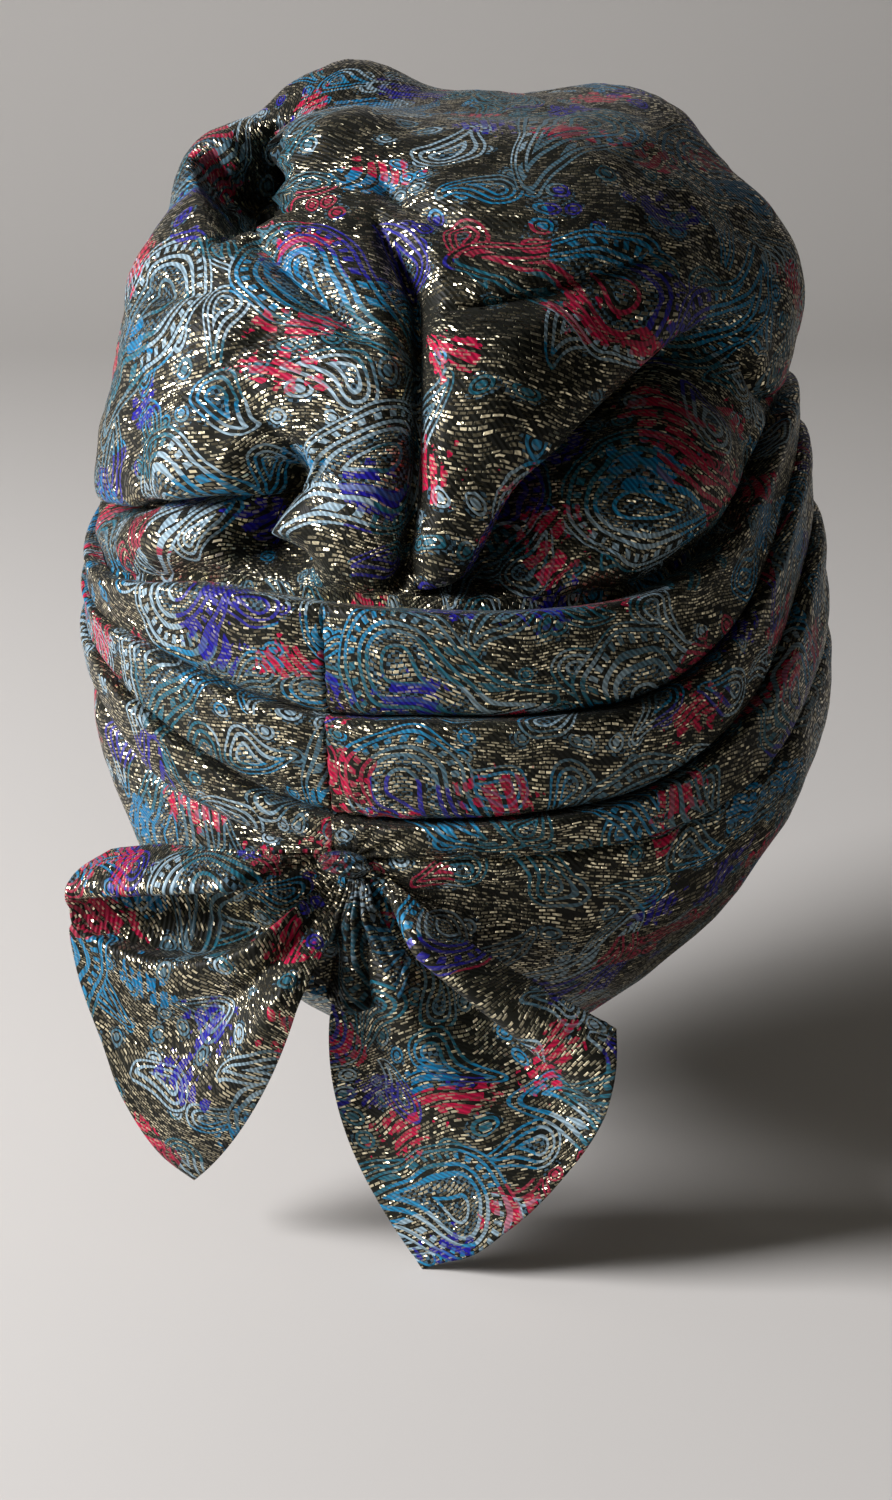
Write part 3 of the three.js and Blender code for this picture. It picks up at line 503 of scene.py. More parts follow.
def paisley_brocade(name, painted_shade_level):
    """Jacquard brocade: a black ground that looks deep, figures in satin floats of blue, teal, silver grey
    and crimson with a soft sheen, and a flat metal thread over the ground, as short gold dashes that glint
    one by one where they face the light, a random few of them also painted near white as painted glints.
    A level under 1 darkens the whole copy as painted shade."""
    material = bpy.data.materials.new(name)
    material.use_nodes = True
    tree = material.node_tree
    shader = tree.nodes["Principled BSDF"]
    laid = add(tree, "UVMap", uv_map="cloth")
    cloth = add(tree, "VectorMath SCALE", {0: laid, "Scale": 1000.0})
    wander = add(tree, "TexNoise", {"Vector": cloth, "Scale": 0.03, "Detail": 1.0}, out="Color",
                 noise_dimensions="2D")
    wander = add(tree, "VectorMath SUBTRACT", {0: wander, 1: (0.5, 0.5, 0.5)})
    drawn = add(tree, "VectorMath MULTIPLY_ADD", {0: wander, 1: (14, 14, 0), 2: cloth})

    # large drops with rings nested inside and out: R is solid thread, G a fine net, B a row of dots, K ground
    large_at, _, _ = scattered(tree, drawn, 74, 0, 0.35)
    large_at = add(tree, "VectorMath ADD", {0: large_at, 1: (-4, 11, 0)})
    large = paisley_drop(tree, large_at, 14, 36, 17)
    R, G, B, K = (1, 0, 0, 1), (0, 1, 0, 1), (0, 0, 1, 1), (0, 0, 0, 1)
    large_parts = ringed(tree, large, -16, 9, [
        (-16, G), (-11.4, K), (-10.2, R), (-9.0, K), (-7.8, G), (-4.7, R), (-3.3, K), (-1.7, R), (-0.2, K),
        (1.1, B), (3.7, K), (4.3, R), (5.5, K), (6.9, R), (7.8, K)])
    inside_large = add(tree, "Math LESS_THAN", {0: large, 1: 7.8})

    # small drops between them
    small_at, small_chance, _ = scattered(tree, drawn, 27, 140)
    small_at = add(tree, "VectorMath ADD", {0: small_at, 1: (-1.5, 4, 0)})
    small = paisley_drop(tree, small_at, 5.6, 14, 6)
    small_parts = ringed(tree, small, -6, 4, [
        (-6, G), (-3.6, R), (-2.7, K), (-1.3, R), (-0.3, K), (1.1, R), (2.0, K)])
    inside_small = add(tree, "Math LESS_THAN", {0: small, 1: 2.6})
    small_here = add(tree, "Math GREATER_THAN", {0: small_chance, 1: 0.3})
    inside_small = add(tree, "Math MULTIPLY", {0: inside_small, 1: small_here})

    # little round flowers fill the rest
    _, flower_chance, flower = scattered(tree, drawn, 7.5, 60, 0.7)
    flower_mm = add(tree, "Math MULTIPLY", {0: flower, 1: 7.5})
    flower_parts = ringed(tree, flower_mm, 0, 6, [(0, R), (1.3, K), (2.0, R), (2.9, K), (3.4, G), (4.4, K)])
    flowering = add(tree, "Math GREATER_THAN", {0: flower_chance, 1: 0.74})
    masks = []
    for k in (0, 1):
        flowers = add(tree, "Math MULTIPLY", {0: flower_parts[k], 1: flowering})
        rest = add(tree, "Mix", {0: inside_small, 2: flowers, 3: small_parts[k]})
        masks.append(add(tree, "Mix", {0: inside_large, 2: rest, 3: large_parts[k]}))
    solid, net = masks
    # the dotted row round a large drop
    parts = add(tree, "SeparateXYZ", {0: large_at}).node.outputs
    round_it = add(tree, "Math ARCTAN2", {0: parts[1], 1: parts[0]})
    dots = add(tree, "Math MULTIPLY", {0: round_it, 1: 26.0})
    dots = add(tree, "Math SINE", {0: dots})
    dots = add(tree, "Math GREATER_THAN", {0: dots, 1: 0.1})
    for factor in (large_parts[2], inside_large):
        dots = add(tree, "Math MULTIPLY", {0: dots, 1: factor})
    solid = add(tree, "Math MAXIMUM", {0: solid, 1: dots})

    # the figures' colours change in bands along the weft, so one outline passes through several of them
    stretched = add(tree, "VectorMath MULTIPLY", {0: drawn, 1: (1 / 30, 1 / 15, 0)})
    patch = add(tree, "TexVoronoi", {"Vector": stretched, "Scale": 1.0, "Randomness": 0.9}, out="Color",
                voronoi_dimensions="2D", distance="CHEBYCHEV")
    patch = add(tree, "SeparateColor", {0: patch})
    colours = add(tree, "ValToRGB", {0: patch}, stops=[
        (0.0, linear("#8FAAB6")), (0.24, linear("#007AA4")), (0.43, linear("#19138C")),
        (0.51, linear("#A01238")), (0.56, linear("#4C707E")), (0.76, linear("#0A6072"))])
    # blobs of crimson and royal blue satin, broken into strokes that follow the drops' outlines
    squeezed = add(tree, "VectorMath MULTIPLY", {0: drawn, 1: (1 / 30, 1 / 19, 0)})
    blob = add(tree, "TexVoronoi", {"Vector": squeezed, "Scale": 1.0, "Randomness": 1.0}, out="Distance",
               voronoi_dimensions="2D")
    blob_chance = add(tree, "SeparateColor", {0: blob.node.outputs["Color"]}).node.outputs
    blob_edge = add(tree, "TexNoise", {"Vector": cloth, "Scale": 0.22, "Detail": 2.0}, noise_dimensions="2D")
    blob = add(tree, "Math MULTIPLY_ADD", {0: blob_edge, 1: 1.1, 2: blob})
    blob = add(tree, "Math LESS_THAN", {0: blob, 1: 0.86})
    chosen = add(tree, "Math LESS_THAN", {0: blob_chance[0], 1: 0.4})
    stroke = add(tree, "Math MULTIPLY", {0: large, 1: 1.35})
    stroke = add(tree, "Math SINE", {0: stroke})
    stroke = add(tree, "Math GREATER_THAN", {0: stroke, 1: -0.55})
    for factor in (stroke, chosen):
        blob = add(tree, "Math MULTIPLY", {0: blob, 1: factor})
    blob_colour = add(tree, "ValToRGB", {0: blob_chance[1]}, stops=[
        (0.0, linear("#BC1240")), (0.62, linear("#18128E")), (0.86, linear("#0074A4"))])

    # threads: a diagonal twill in the satin, about 1.4 mm apart so that it shows, and a fine net
    twill = add(tree, "TexWave", {"Vector": cloth, "Scale": 0.31, "Distortion": 1.2, "Detail": 1.0,
                                  "Detail Scale": 0.6}, out="Fac", bands_direction="DIAGONAL")
    netting = add(tree, "TexChecker", {"Vector": cloth, "Scale": 0.8}, out="Fac")

    # the metal thread: dashes about 2 mm long in rows 1.1 mm apart, coarser than real so that they show
    dash = add(tree, "TexBrick", {
        "Vector": drawn, "Color1": (0, 0, 0, 1), "Color2": (1, 1, 1, 1), "Scale": 1.0, "Mortar Size": 0.26,
        "Mortar Smooth": 0.3, "Brick Width": 2.3, "Row Height": 1.12}, out="Fac", offset=0.5, squash=1.0)
    dash_chance = add(tree, "SeparateColor", {0: dash.node.outputs["Color"]})
    metal = add(tree, "Math SUBTRACT", {0: 1.0, 1: dash})
    covered = add(tree, "Math MULTIPLY_ADD", {0: solid, 1: -0.88, 2: 1.0})
    present = add(tree, "Math GREATER_THAN", {0: dash_chance, 1: 0.24})
    for factor in (covered, present):
        metal = add(tree, "Math MULTIPLY", {0: metal, 1: factor})
    sparse = add(tree, "Math MULTIPLY", {0: metal, 1: 0.35})
    metal = add(tree, "Mix", {0: blob, 2: metal, 3: sparse})

    # each layer's colour runs from a dark one to a light one, and the layers lie one over the other
    wear = add(tree, "TexNoise", {"Vector": cloth, "Scale": 0.05, "Detail": 3.0}, noise_dimensions="2D")
    shaded = add(tree, "Math MULTIPLY", {0: twill, 1: 0.55})
    blob_shaded = add(tree, "Math MULTIPLY", {0: twill, 1: 0.5})
    uncovered = add(tree, "Math MULTIPLY_ADD", {0: solid, 1: -0.35, 2: 1.0})
    blob_here = add(tree, "Math MULTIPLY", {0: blob, 1: uncovered})
    # a random few metal dashes are coloured near white as painted glints, the rest a dark gold; all are metal
    # and also glint for real where they face the light
    painted_glint_share = add(tree, "Math POWER", {0: dash_chance, 1: 2.2})
    colour = None
    for cover, share, first, second in (
        (None, wear, linear("#0A0B08"), linear("#1E1E15")),
        (net, netting, linear("#0B100F"), linear("#3F5A68")),
        (solid, shaded, colours, linear("#0B0D10")),
        (blob_here, blob_shaded, blob_colour, linear("#10060C")),
        (metal, painted_glint_share, linear("#403D30"), linear("#FFF2CC")),
    ):
        layer = add(tree, "Mix", {0: share, 6: first, 7: second}, out=2, data_type="RGBA")
        if colour is not None:
            layer = add(tree, "Mix", {0: cover, 6: colour, 7: layer}, out=2, data_type="RGBA")
        colour = layer
    # a level under 1 darkens the whole brocade as painted shade, for the short end and the knot
    painted_shade_dimmed = add(tree, "HueSaturation", {"Color": colour, "Value": painted_shade_level})
    roughness = add(tree, "MapRange", {0: metal, 1: 0.0, 2: 1.0, 3: 0.5, 4: 0.28})
    lustre = add(tree, "Math MULTIPLY_ADD", {0: solid, 1: 0.2, 2: 0.12})
    # relief: satin floats stand 0.25 mm proud, metal dashes lie as small ribs between them
    ribs = add(tree, "Math MULTIPLY", {0: twill, 1: 0.12})
    height = add(tree, "Math MULTIPLY_ADD", {0: solid, 1: 0.25, 2: ribs})
    tilt = add(tree, "Math MULTIPLY_ADD", {0: dash_chance, 1: 0.35, 2: 0.12})
    height = add(tree, "Math MULTIPLY_ADD", {0: metal, 1: tilt, 2: height})
    bump = add(tree, "Bump", {"Strength": 1.0, "Distance": 0.001, "Height": height})
    # each metal dash is tilted its own way, so they flash one by one
    tip = add(tree, "TexWhiteNoise", {"W": dash_chance}, out="Color", noise_dimensions="1D")
    tip = add(tree, "VectorMath SUBTRACT", {0: tip, 1: (0.5, 0.5, 0.5)})
    tilted = add(tree, "Math MULTIPLY", {0: metal, 1: 0.75})
    tip = add(tree, "VectorMath SCALE", {0: tip, "Scale": tilted})
    tipped = add(tree, "VectorMath ADD", {0: bump, 1: tip})
    normal = add(tree, "VectorMath NORMALIZE", {0: tipped})
    for socket, value in (("Base Color", painted_shade_dimmed), ("Metallic", metal), ("Roughness", roughness),
                          ("Specular IOR Level", lustre), ("Normal", normal)):
        tree.links.new(value, shader.inputs[socket])
    shader.inputs["Sheen Weight"].default_value = 0.03
    return material


brocade = paisley_brocade("paisley brocade", 1.0)
dress(crown, brocade, "brocade", "crown")

# The band: two panels of the same brocade, joined by a seam at the centre back.
# Each is laid in three pleats that sweep up from the nape; below them the
# cloth hangs loose to a turned hem.
SEAM_AZIMUTH, KNOT_AZIMUTH = 2.0, 4.0
# Where the outer cloth lies on the head form: azimuths, stations and how far out. The crown comes first, and
# what its folds move sideways is turned into degrees and stations.
round_head = on_head(azimuth + 1, station) - on_head(azimuth - 1, station)
up_head = on_head(azimuth, np.minimum(1, station + 0.01)) - on_head(azimuth, station - 0.01)
outer_cloth = [(
    azimuth + 2 * (moved * round_head).sum(-1) / np.maximum((round_head**2).sum(-1), 0.5),
    station + 0.02 * (moved * up_head).sum(-1) / np.maximum((up_head**2).sum(-1), 0.5),
    out,
)]
# One pleat in section: the share of the way up to its edge, and how far it stands out. It comes out from
# behind the pleat below, swells, and rolls over at its own edge.
PLEAT = [(0.0, -1.0), (0.02, -0.65), (0.07, -0.2), (0.17, 0.2), (0.38, 0.5), (0.66, 0.75), (0.88, 0.92),
         (0.985, 0.9), (1.03, 0.55), (1.035, 0.1), (1.02, -0.5), (0.99, -1.35)]
SKIRT = [(0.0, 0.05), (0.15, 0.2), (0.4, 0.4), (0.65, 0.35), (0.88, 0.2), (0.97, 0.1), (1.01, -0.3)]


# How far the hem is drawn in at most, and how far it is turned under, as a share of the stations (10 mm)
HEM_DRAW, HEM_TURN = 38.0, 0.035
# Small puckers where the ties draw the band in: how many for a whole turn, how deep, over what reach
PUCKERS, PUCKER_DEPTH, PUCKER_REACH = 17, 1.0, 30.0
# The groove at the seam, and how far round the back of the head a degree reaches
SEAM_DEPTH, SEAM_WIDTH, DEGREE = 1.3, 1.2, 2.3


def band_points(azimuths):
    """The band's cloth from the hem up, a column for each azimuth, and where it lies on the head form."""
    line = {c: band_line(c, azimuths) for c in range(1, 8)}
    stations, outs = [], []
    for low, high, profile in (
        (HEM, DRAWN, SKIRT), (DRAWN, LOW, PLEAT), (LOW, MIDDLE, PLEAT), (MIDDLE, TOP, PLEAT),
    ):
        full = line[RELIEF] * fullness(line[low], line[high])
        for share, far in profile:
            stations.append(line[low] + (line[high] - line[low]) * share)
            outs.append(far * full * (PLEAT_OUT if far > 0 else PLEAT_IN))
            if low == HEM:
                outs[-1] = outs[-1] - HEM_DRAW * np.maximum(0, line[DRAW]) * (1 - share) ** 2
    stations = [stations[0] + HEM_TURN, stations[0] + 0.006, stations[0] - 0.001] + stations
    outs = [outs[0] - 2.0, outs[0] - 1.8, outs[0] - 0.9] + outs
    knots = np.arange(len(stations))
    rows = np.linspace(0, len(knots) - 1, 4 * (len(knots) - 1) + 1)
    station = np.stack([curve(knots, s, rows) for s in np.array(stations).T])
    out = np.stack([curve(knots, o, rows) for o in np.array(outs).T])
    azimuth = np.broadcast_to(azimuths[:, None], station.shape)
    place, way = on_head(azimuth, station), off_head(azimuth, station)
    # fine creases run along the pleats, and the loose cloth below them is softly uneven
    up_band = (station - line[DRAWN][:, None]) / (line[TOP] - line[DRAWN])[:, None]
    lengthwise = np.stack([azimuth * 0.35, up_band * 150, 0 * azimuth], -1)
    in_band = ease(-0.02, 0.06, up_band)
    creases = 0.55 * ripple(lengthwise, 30, 11) + 0.25 * ripple(lengthwise, 12, 12)
    out = out + in_band * line[RELIEF][:, None] * creases
    uneven = 0.9 * ripple(place, 46, 13) + 0.25 * ripple(place, 15, 14)
    out = out + (1 - in_band) * uneven * ease(0, 0.06, station - line[HEM][:, None])
    # puckers close in on the nape
    offset = place - on_head(KNOT_AZIMUTH, band_line(DRAWN, KNOT_AZIMUTH))
    far = np.linalg.norm(offset, axis=-1)
    bearing = np.arctan2(offset[..., 2], -offset[..., 0])
    pucker = PUCKER_DEPTH * np.cos(bearing * PUCKERS + 0.03 * far)
    out = out + pucker * np.exp(-far / PUCKER_REACH) * ease(0, 8, far)
    # the seam's edges turn in, so the panels meet in a narrow groove
    from_seam = np.abs((azimuth - SEAM_AZIMUTH + 180) % 360 - 180) * DEGREE
    out = out - np.maximum(out, 0) * 0.45 * np.exp(-(from_seam / 7) ** 2)
    out = out + 0.5 * np.cos(place[..., 2] * 0.9) * np.exp(-from_seam / 3)
    out = out - SEAM_DEPTH * np.clip(1 - from_seam / SEAM_WIDTH, 0, 1) ** 2
    return place + way * out[..., None], (azimuth, station, out)


for side, first, last, seed in (("right", SEAM_AZIMUTH, 180.0, 2), ("left", 180.0, 360.0 + SEAM_AZIMUTH, 3)):
    # the columns crowd towards the seam
    spread = np.linspace(0, 1, 181)
    spread = spread**1.35 if side == "right" else 1 - (1 - spread) ** 1.35
    points, lies = band_points(first + (last - first) * spread)
    outer_cloth.append(lies)
    uv, cut, area = flatten(points, (91, 73), seed)
    panel = sheet_object("band_cloth_" + side, points, uv)
    dress(panel, brocade, "brocade", "band_" + side)

# The lining: thin satin inside the whole turban, dark partly as painted shade, cut plainer than the
# brocade and caught to its hem, so it spans the outer cloth's pleats and folds.
LINING_GAP = 3.0
# The deepest place of the outer cloth in each cell of the head form, round it and up it
CELLS_ROUND, CELLS_UP = 120, 100
cells = np.full((CELLS_ROUND, CELLS_UP), 60.0)
for turned_to, height, off in outer_cloth:
    cell_round = ((turned_to.ravel() % 360) / (360 / CELLS_ROUND)).astype(int) % CELLS_ROUND
    cell_up = np.clip(height.ravel() * CELLS_UP, 0, CELLS_UP - 1).astype(int)
    np.minimum.at(cells, (cell_round, cell_up), off.ravel())


def neighbours(cells):
    """The cells shifted by one each way, joined round the head and held at the hem and the top."""
    shifted = []
    for i in (-1, 0, 1):
        rolled = np.roll(cells, i, 0)
        shifted += [np.hstack([rolled[:, 1:], cells[:, -1:]]), rolled]
        shifted += [np.hstack([cells[:, :1], rolled[:, :-1]])]
    return np.stack(shifted)


for take in (np.min, np.min, np.mean):
    cells = take(neighbours(cells), axis=0)
cells = np.minimum(cells, 0) - LINING_GAP
lining_turn, lining_up = np.linspace(-180, 180, 181), np.linspace(0, 1, 91)
low = band_line(HEM, lining_turn)[:, None] + HEM_TURN
lining_station = low + (1 - low) * lining_up
lining_azimuth = np.broadcast_to(lining_turn[:, None], lining_station.shape)
column = (lining_azimuth % 360) / (360 / CELLS_ROUND)
row = np.clip(lining_station * CELLS_UP - 0.5, 0, CELLS_UP - 1.001)
i, j = np.floor(column).astype(int) % CELLS_ROUND, np.floor(row).astype(int)
beside = (i + 1) % CELLS_ROUND
u, v = column % 1, row % 1
inset = ((1 - u) * (1 - v) * cells[i, j] + u * (1 - v) * cells[beside, j]
         + (1 - u) * v * cells[i, j + 1] + u * v * cells[beside, j + 1])
lining_points = on_head(lining_azimuth, lining_station)
lining_points = lining_points + off_head(lining_azimuth, lining_station) * inset[..., None]
lining_points[:, -1] = lining_points[:, -1].mean(0)
lining_uv, lining_cut, lining_area = flatten(lining_points, (91, 61), 9)
lining = sheet_object("lining_cloth", lining_points, lining_uv, pole=True)


def plain(name, looks):
    """A material with one look all over."""
    material = bpy.data.materials.new(name)
    material.use_nodes = True
    for socket, value in looks.items():
        material.node_tree.nodes["Principled BSDF"].inputs[socket].default_value = value
    return material


# smooth, nearly black and dimly gleaming, so the inside looks dark and lined: the near-black is partly
# painted shade for the turban's inside
satin = plain("near-black lining satin, dark partly as painted shade", {"Base Color": linear("#15151A"), "Roughness": 0.42, "Sheen Weight": 0.1})
dress(lining, satin, "brocade_shaded", "crown", "band_left", "band_right")

# The ties: the band's two pointed ends, drawn out through the knot and left
# hanging. Each fans out from the knot in soft folds, with a narrow turned hem.
TIE_LENGTH = 134.0
TIE_LIFT = 11.5  # how far off the band the ties stand, past the knot
TIE_SWING = 12.0  # how far their ribs stand out or in from there
TIE_BEND = 14.0  # how far their ends bend round the head
NECK_START = 6.0  # how far from the middle of the knot a tie's neck starts
NECK_REST = -0.24  # where the necks lie on the drawn band, as a share of its pleats' swell
TIE_HEM = 4.0
knot_foot = on_head(KNOT_AZIMUTH, band_line(DRAWN, KNOT_AZIMUTH))
knot_turn = math.radians(KNOT_AZIMUTH)
knot_across = np.array([-math.cos(knot_turn), -math.sin(knot_turn), 0])
knot_out = np.array([-math.sin(knot_turn), math.cos(knot_turn), 0])


def from_knot(across, up, out):
    """The points at those distances across, up and out from the knot's foot."""
    across, up, out = (part[..., None] for part in np.broadcast_arrays(across, up, out))
    return knot_foot + across * knot_across + out * knot_out + up * np.array([0, 0, 1])


def band_reach(across, up, pleat_share):
    """How far out from the knot's foot the band lies at a place across and up from it."""
    place = from_knot(across, up, 0.0)
    rise = (place[..., 2] + NAPE_DROP) / HEAD_HEIGHT
    left, right, back = (curve(BODY[:, 1], BODY[:, c], rise) for c in (2, 3, 4))
    side = SIDE_REACH * np.where(place[..., 0] < 0, right, left)
    share = np.minimum(1, np.abs(place[..., 0]) / side) ** SQUARENESS
    reach = (BACK_REACH * back * (1 - share) ** (1 / SQUARENESS) - knot_foot[1]) / math.cos(knot_turn)
    return np.where(rise < 0, -1e3, reach + PLEAT_OUT * pleat_share)


# Ribs fan out from the knot: the rib's share of the way round, its angle below the horizontal near the knot,
# half way and at the rim, its length as a share of TIE_LENGTH, and how far it stands out near the knot and
# at the rim, as shares of TIE_SWING.
TIES = {
    "left": [
        (0.0, -12, -3, 5, 0.60, -0.5, -0.6), (0.07, -6, 1, 7, 0.65, 0.5, 0.2),
        (0.16, 2, 6, 9, 0.67, 1.1, 0.7), (0.24, 11, 11, 11.5, 0.68, 0.9, 0.8),
        (0.29, 12, 11, 12.8, 0.685, -0.5, 0.75), (0.35, 19, 16, 14.2, 0.685, -1.4, 0.7),
        (0.42, 42, 31, 16, 0.69, -1.5, 0.7), (0.47, 55, 45, 17.4, 0.69, -0.7, 0.75),
        (0.495, 51, 41, 18.2, 0.695, 0.9, 0.8), (0.55, 59, 48, 25, 0.72, 1.0, 0.7),
        (0.67, 68, 56, 40, 0.785, 0.8, 0.5), (0.8, 75, 61, 50, 0.85, 1.3, 0.5),
        (0.92, 82, 69, 60, 0.905, 1.9, 0.4), (1.0, 90, 79, 66.5, 0.925, 1.6, 0.2)],
    "right": [
        (0.0, 18, 26, 27, 0.72, -0.3, -0.3), (0.07, 23, 29, 29.5, 0.755, 0.6, 0.3),
        (0.16, 30, 33.5, 34, 0.79, 1.0, 0.5), (0.23, 36, 38, 38.5, 0.815, 0.6, 0.2),
        (0.29, 38, 40, 41.5, 0.83, -0.7, 0.0), (0.4, 48, 48, 47.5, 0.86, -1.2, 0.0),
        (0.5, 58, 56, 53, 0.885, -0.4, 0.2), (0.6, 66, 63.5, 59, 0.915, 0.2, 0.3),
        (0.7, 73, 71, 65, 0.95, 0.1, 0.2), (0.8, 79, 79, 70.5, 0.985, -0.4, 0.1),
        (0.91, 87, 90, 75.5, 1.0, -0.9, 0.0), (1.0, 92, 98, 79, 1.015, -1.0, -0.1)],
}


def between(t, a, b, slope_a, slope_b, span):
    """A smooth curve from a to b over the span, with those slopes at its ends."""
    return ((2 * t**3 - 3 * t**2 + 1) * a + (t**3 - 2 * t**2 + t) * span * slope_a
            + (3 * t**2 - 2 * t**3) * b + (t**3 - t**2) * span * slope_b)


def fan(rows, sign, ribs, along, lift=0.0, seed=1):
    """The cloth that fans out from the knot, rib by rib, clear of the band behind it."""
    rows = np.array(rows, float)
    near, half, far, length, out_near, out_far = (curve(rows[:, 0], rows[:, c], ribs) for c in range(1, 7))
    slopes = (half - near) / 0.4, far - near, (far - half) / 0.6
    t0, t1 = np.clip(along / 0.4, 0, 1), np.clip((along - 0.4) / 0.6, 0, 1)
    angle = np.radians(np.where(along < 0.4, between(t0, near, half, slopes[0], slopes[1], 0.4),
                                between(t1, half, far, slopes[1], slopes[2], 0.6)))
    reach = NECK_START + (length * TIE_LENGTH - NECK_START) * along
    across, up = sign * (reach * np.cos(angle) + 1.2), -reach * np.sin(angle)
    opened = ease(0.03, 0.3, along)
    # cloth that is gathered at the knot and lies flatter towards its rim
    pinch = 1.1 * np.cos(ribs * 2 * math.pi * 8.5 + 2.0 * along) * ease(0.0, 0.08, along)
    pinch = pinch * np.exp(-reach / 22)
    swing = TIE_SWING * opened * (out_near + (out_far - out_near) * along**2.5)
    free = TIE_LIFT * opened + swing - TIE_BEND * (across / TIE_LENGTH) ** 2
    least = band_reach(across, up, NECK_REST + (1 - NECK_REST) * opened) + 1.1 + 3.7 * opened
    spread = np.stack(np.broadcast_arrays(ribs * 60, along * 18, 0.0), -1)
    crumple = 0.8 * opened * ripple(spread, 26, seed) + 0.3 * opened * ripple(spread, 9, seed + 1)
    # the stitching of the narrow hem draws a line in the cloth beside the rim
    hem = 0.5 * np.exp(-(((1 - along) * length * TIE_LENGTH - TIE_HEM) / 0.9) ** 2)
    return from_knot(across, up, np.maximum(free, least) + crumple + pinch + lift - hem)


def hang(name, points, node, seed, cloth=brocade, slot="brocade"):
    """A loose end of two layers, sewn round its rim and turned right side out."""
    uv, cut, area = flatten(points, (71, 61), seed)
    piece = sheet_object(name, points, uv)
    layers = piece.modifiers.new("two layers", "SOLIDIFY")
    layers.thickness, layers.offset = 0.0012, 0
    dress(piece, cloth, slot, node)


across_ribs = np.linspace(0, 1, 161)[:, None]
down_rib = np.linspace(0, 1, 131)[None, :]
hang("tie_cloth_left", fan(TIES["left"], -1, across_ribs[::-1], down_rib, seed=20), "tie_left", 4)
hang("tie_cloth_right", fan(TIES["right"], 1, across_ribs, down_rib, seed=24), "tie_right", 6)

# The short end: a small flared end of the same cloth that hangs from the knot
# between the ties, darkened all over as painted shade, with soft flutes and a hem.
brocade_painted_shade = paisley_brocade("paisley brocade, darkened as painted shade", 0.4)
# Its ribs, in the same columns as the ties'
SHORT_END = [
    (0.0, 50, 54, 52, 0.26, -0.6, -0.5), (0.2, 60, 63, 62, 0.32, -0.2, 0.1),
    (0.4, 68, 73, 73, 0.335, -0.6, -0.4), (0.62, 78, 83, 85, 0.34, -0.3, 0.1),
    (0.82, 90, 95, 98, 0.335, -0.6, -0.4), (1.0, 98, 104, 109, 0.32, -0.5, -0.2)]
short_points = fan(SHORT_END, 1, np.linspace(0, 1, 91)[:, None], np.linspace(0, 1, 61)[None, :], 0.8, 31)
hang("short_end_cloth", short_points, "knot", 8, brocade_painted_shade, "brocade_shaded")

# The knot: the necks of the ties wound once round each other and pulled tight,
# so the cloth is gathered into small hard folds.
KNOT_WIDTH, KNOT_HEIGHT, KNOT_DEPTH = 17.0, 8.5, 5.5
tilt, turn = np.linspace(0, math.pi, 49)[None, :], np.linspace(0, 2 * math.pi, 97)[:, None]
# it lies on the ties' necks, and two sets of slanting folds run round it
knot_back = float(band_reach(np.array(0.0), np.array(0.0), NECK_REST)) + 1.6 + 0.6
groove = 0.7 * np.cos(8 * tilt + 2.6 * np.cos(turn)) + 0.3 * np.cos(15 * tilt - 3 * np.cos(turn))
groove = groove * np.sin(tilt)
knot_points = from_knot(
    (KNOT_WIDTH / 2 - groove) * np.sin(tilt) * np.cos(turn),
    KNOT_HEIGHT / 2 * np.cos(tilt),
    knot_back + KNOT_DEPTH / 2 + (KNOT_DEPTH / 2 - groove) * np.sin(tilt) * np.sin(turn))
knot_uv = np.stack(np.broadcast_arrays(turn / (2 * math.pi) * 0.06, tilt / math.pi * 0.02), -1) + (1.31, 0.47)
knot = sheet_object("knot_cloth", knot_points[:, ::-1], knot_uv[:, ::-1], welded=True, pole=True)
# the knot's brocade is darkened to 0.35 all over, as painted shade
dress(knot, paisley_brocade("paisley brocade, darkened as painted shade in the knot", 0.35), "brocade_shaded", "knot")

# The room: a plain pale floor that curves up into a wall, a large soft window
# light from the left, and the camera behind and a little above the nape.
CAMERA_TURN, CAMERA_TILT = math.radians(202), math.radians(19)
LENS, SENSOR, DISTANCE = 62, 36, 0.890
FLOOR_HEIGHT = -0.166
back = np.array([
    math.sin(CAMERA_TURN) * math.cos(CAMERA_TILT), -math.cos(CAMERA_TURN) * math.cos(CAMERA_TILT),
    math.sin(CAMERA_TILT)])
right = np.array([math.cos(CAMERA_TURN), math.sin(CAMERA_TURN), 0])
upward = np.cross(back, right)

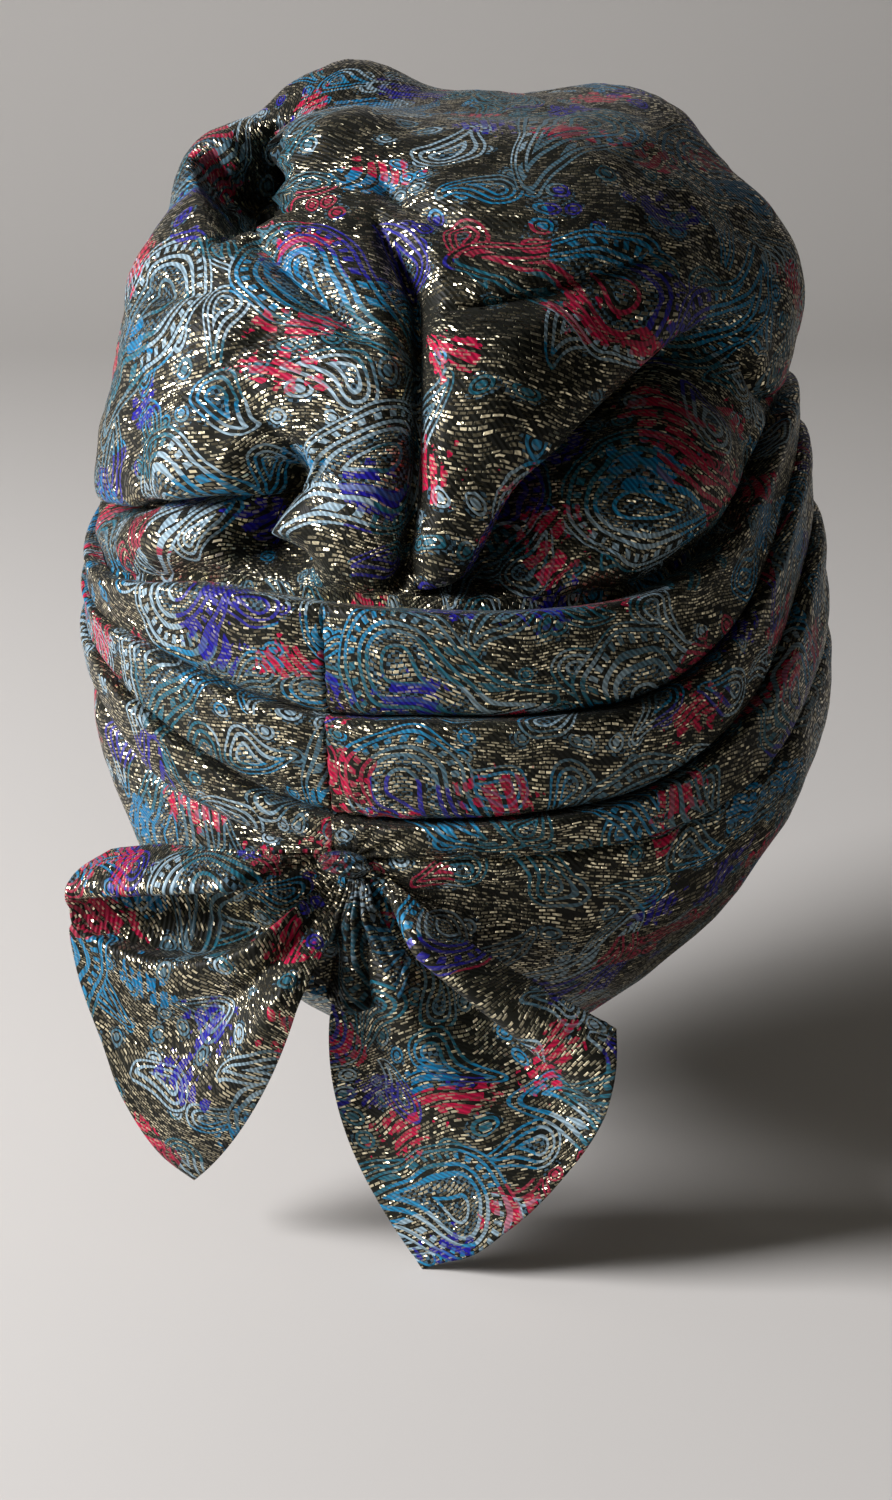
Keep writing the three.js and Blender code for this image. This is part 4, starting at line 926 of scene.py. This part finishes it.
# The floor's section: how far towards the camera, and how high
sweep = [(2.5, FLOOR_HEIGHT)]
sweep += [(-1.5 - math.sin(t), FLOOR_HEIGHT + 1 - math.cos(t)) for t in np.linspace(0, math.pi / 2, 17)]
sweep += [(-2.5, 4.5)]
away = np.array([math.sin(CAMERA_TURN), -math.cos(CAMERA_TURN)])
floor_points = [(*(away * y + right[:2] * x), z) for x in (-5, 5) for y, z in sweep]
floor_mesh = bpy.data.meshes.new("floor")
floor_mesh.from_pydata([tuple(map(float, p)) for p in floor_points], [],
                       [(k, k + 1, k + 1 + len(sweep), k + len(sweep)) for k in range(len(sweep) - 1)])
floor_mesh.polygons.foreach_set("use_smooth", np.ones(len(floor_mesh.polygons), bool))
# dull and pale, so it takes a soft shadow and has no shine
floor_mesh.materials.append(plain("matt pale board", {"Base Color": linear("#CFCBC3"), "Roughness": 0.9}))
placed("floor", floor_mesh)


def standing(x, y, z, place):
    """The matrix of a thing that stands at a place, turned to three axes."""
    return Matrix([[*(float(v[i]) for v in (x, y, z)), float(place[i])] for i in range(3)] + [[0, 0, 0, 1]])


# The turban stands 14 pixels to the right of the picture's middle and 150 above it, in a picture 1500 high.
target = np.array([0, 0.015, 0.020])
per_pixel = DISTANCE / (LENS / SENSOR * 1500)
eye = target + back * DISTANCE - right * 14 * per_pixel - upward * 150 * per_pixel
camera = placed("camera", bpy.data.cameras.new("camera"))
camera.data.lens, camera.data.sensor_width = LENS, SENSOR
camera.matrix_world = standing(right, upward, back, eye)
bpy.context.scene.camera = camera

# The window is strong and cool. The room's own lamp, above the camera, is weak and warm, and lets the shaded
# cloth keep its pattern.
for name, place, size, power, colour in (
    ("window", target - right * 2.0 + upward * 0.75 + back * 0.8, 0.9, 112, "#F8F8FF"),
    ("room", target - right * 0.6 + upward * 0.4 + back * 2.0, 1.6, 1.4, "#FFF2E2"),
):
    lamp = placed(name, bpy.data.lights.new(name, "AREA"))
    lamp.data.size, lamp.data.energy, lamp.data.color = size, power, linear(colour)[:3]
    z = place - target
    z /= np.linalg.norm(z)
    x = np.cross([0, 0, 1], z)
    x /= np.linalg.norm(x)
    lamp.matrix_world = standing(x, np.cross(z, x), z, place)
world = bpy.data.worlds.new("room light")
world.use_nodes = True
world.node_tree.nodes["Background"].inputs["Color"].default_value = linear("#BFC0BA")
world.node_tree.nodes["Background"].inputs["Strength"].default_value = 0.05
bpy.context.scene.world = world
bpy.context.scene.view_settings.view_transform = "Standard"
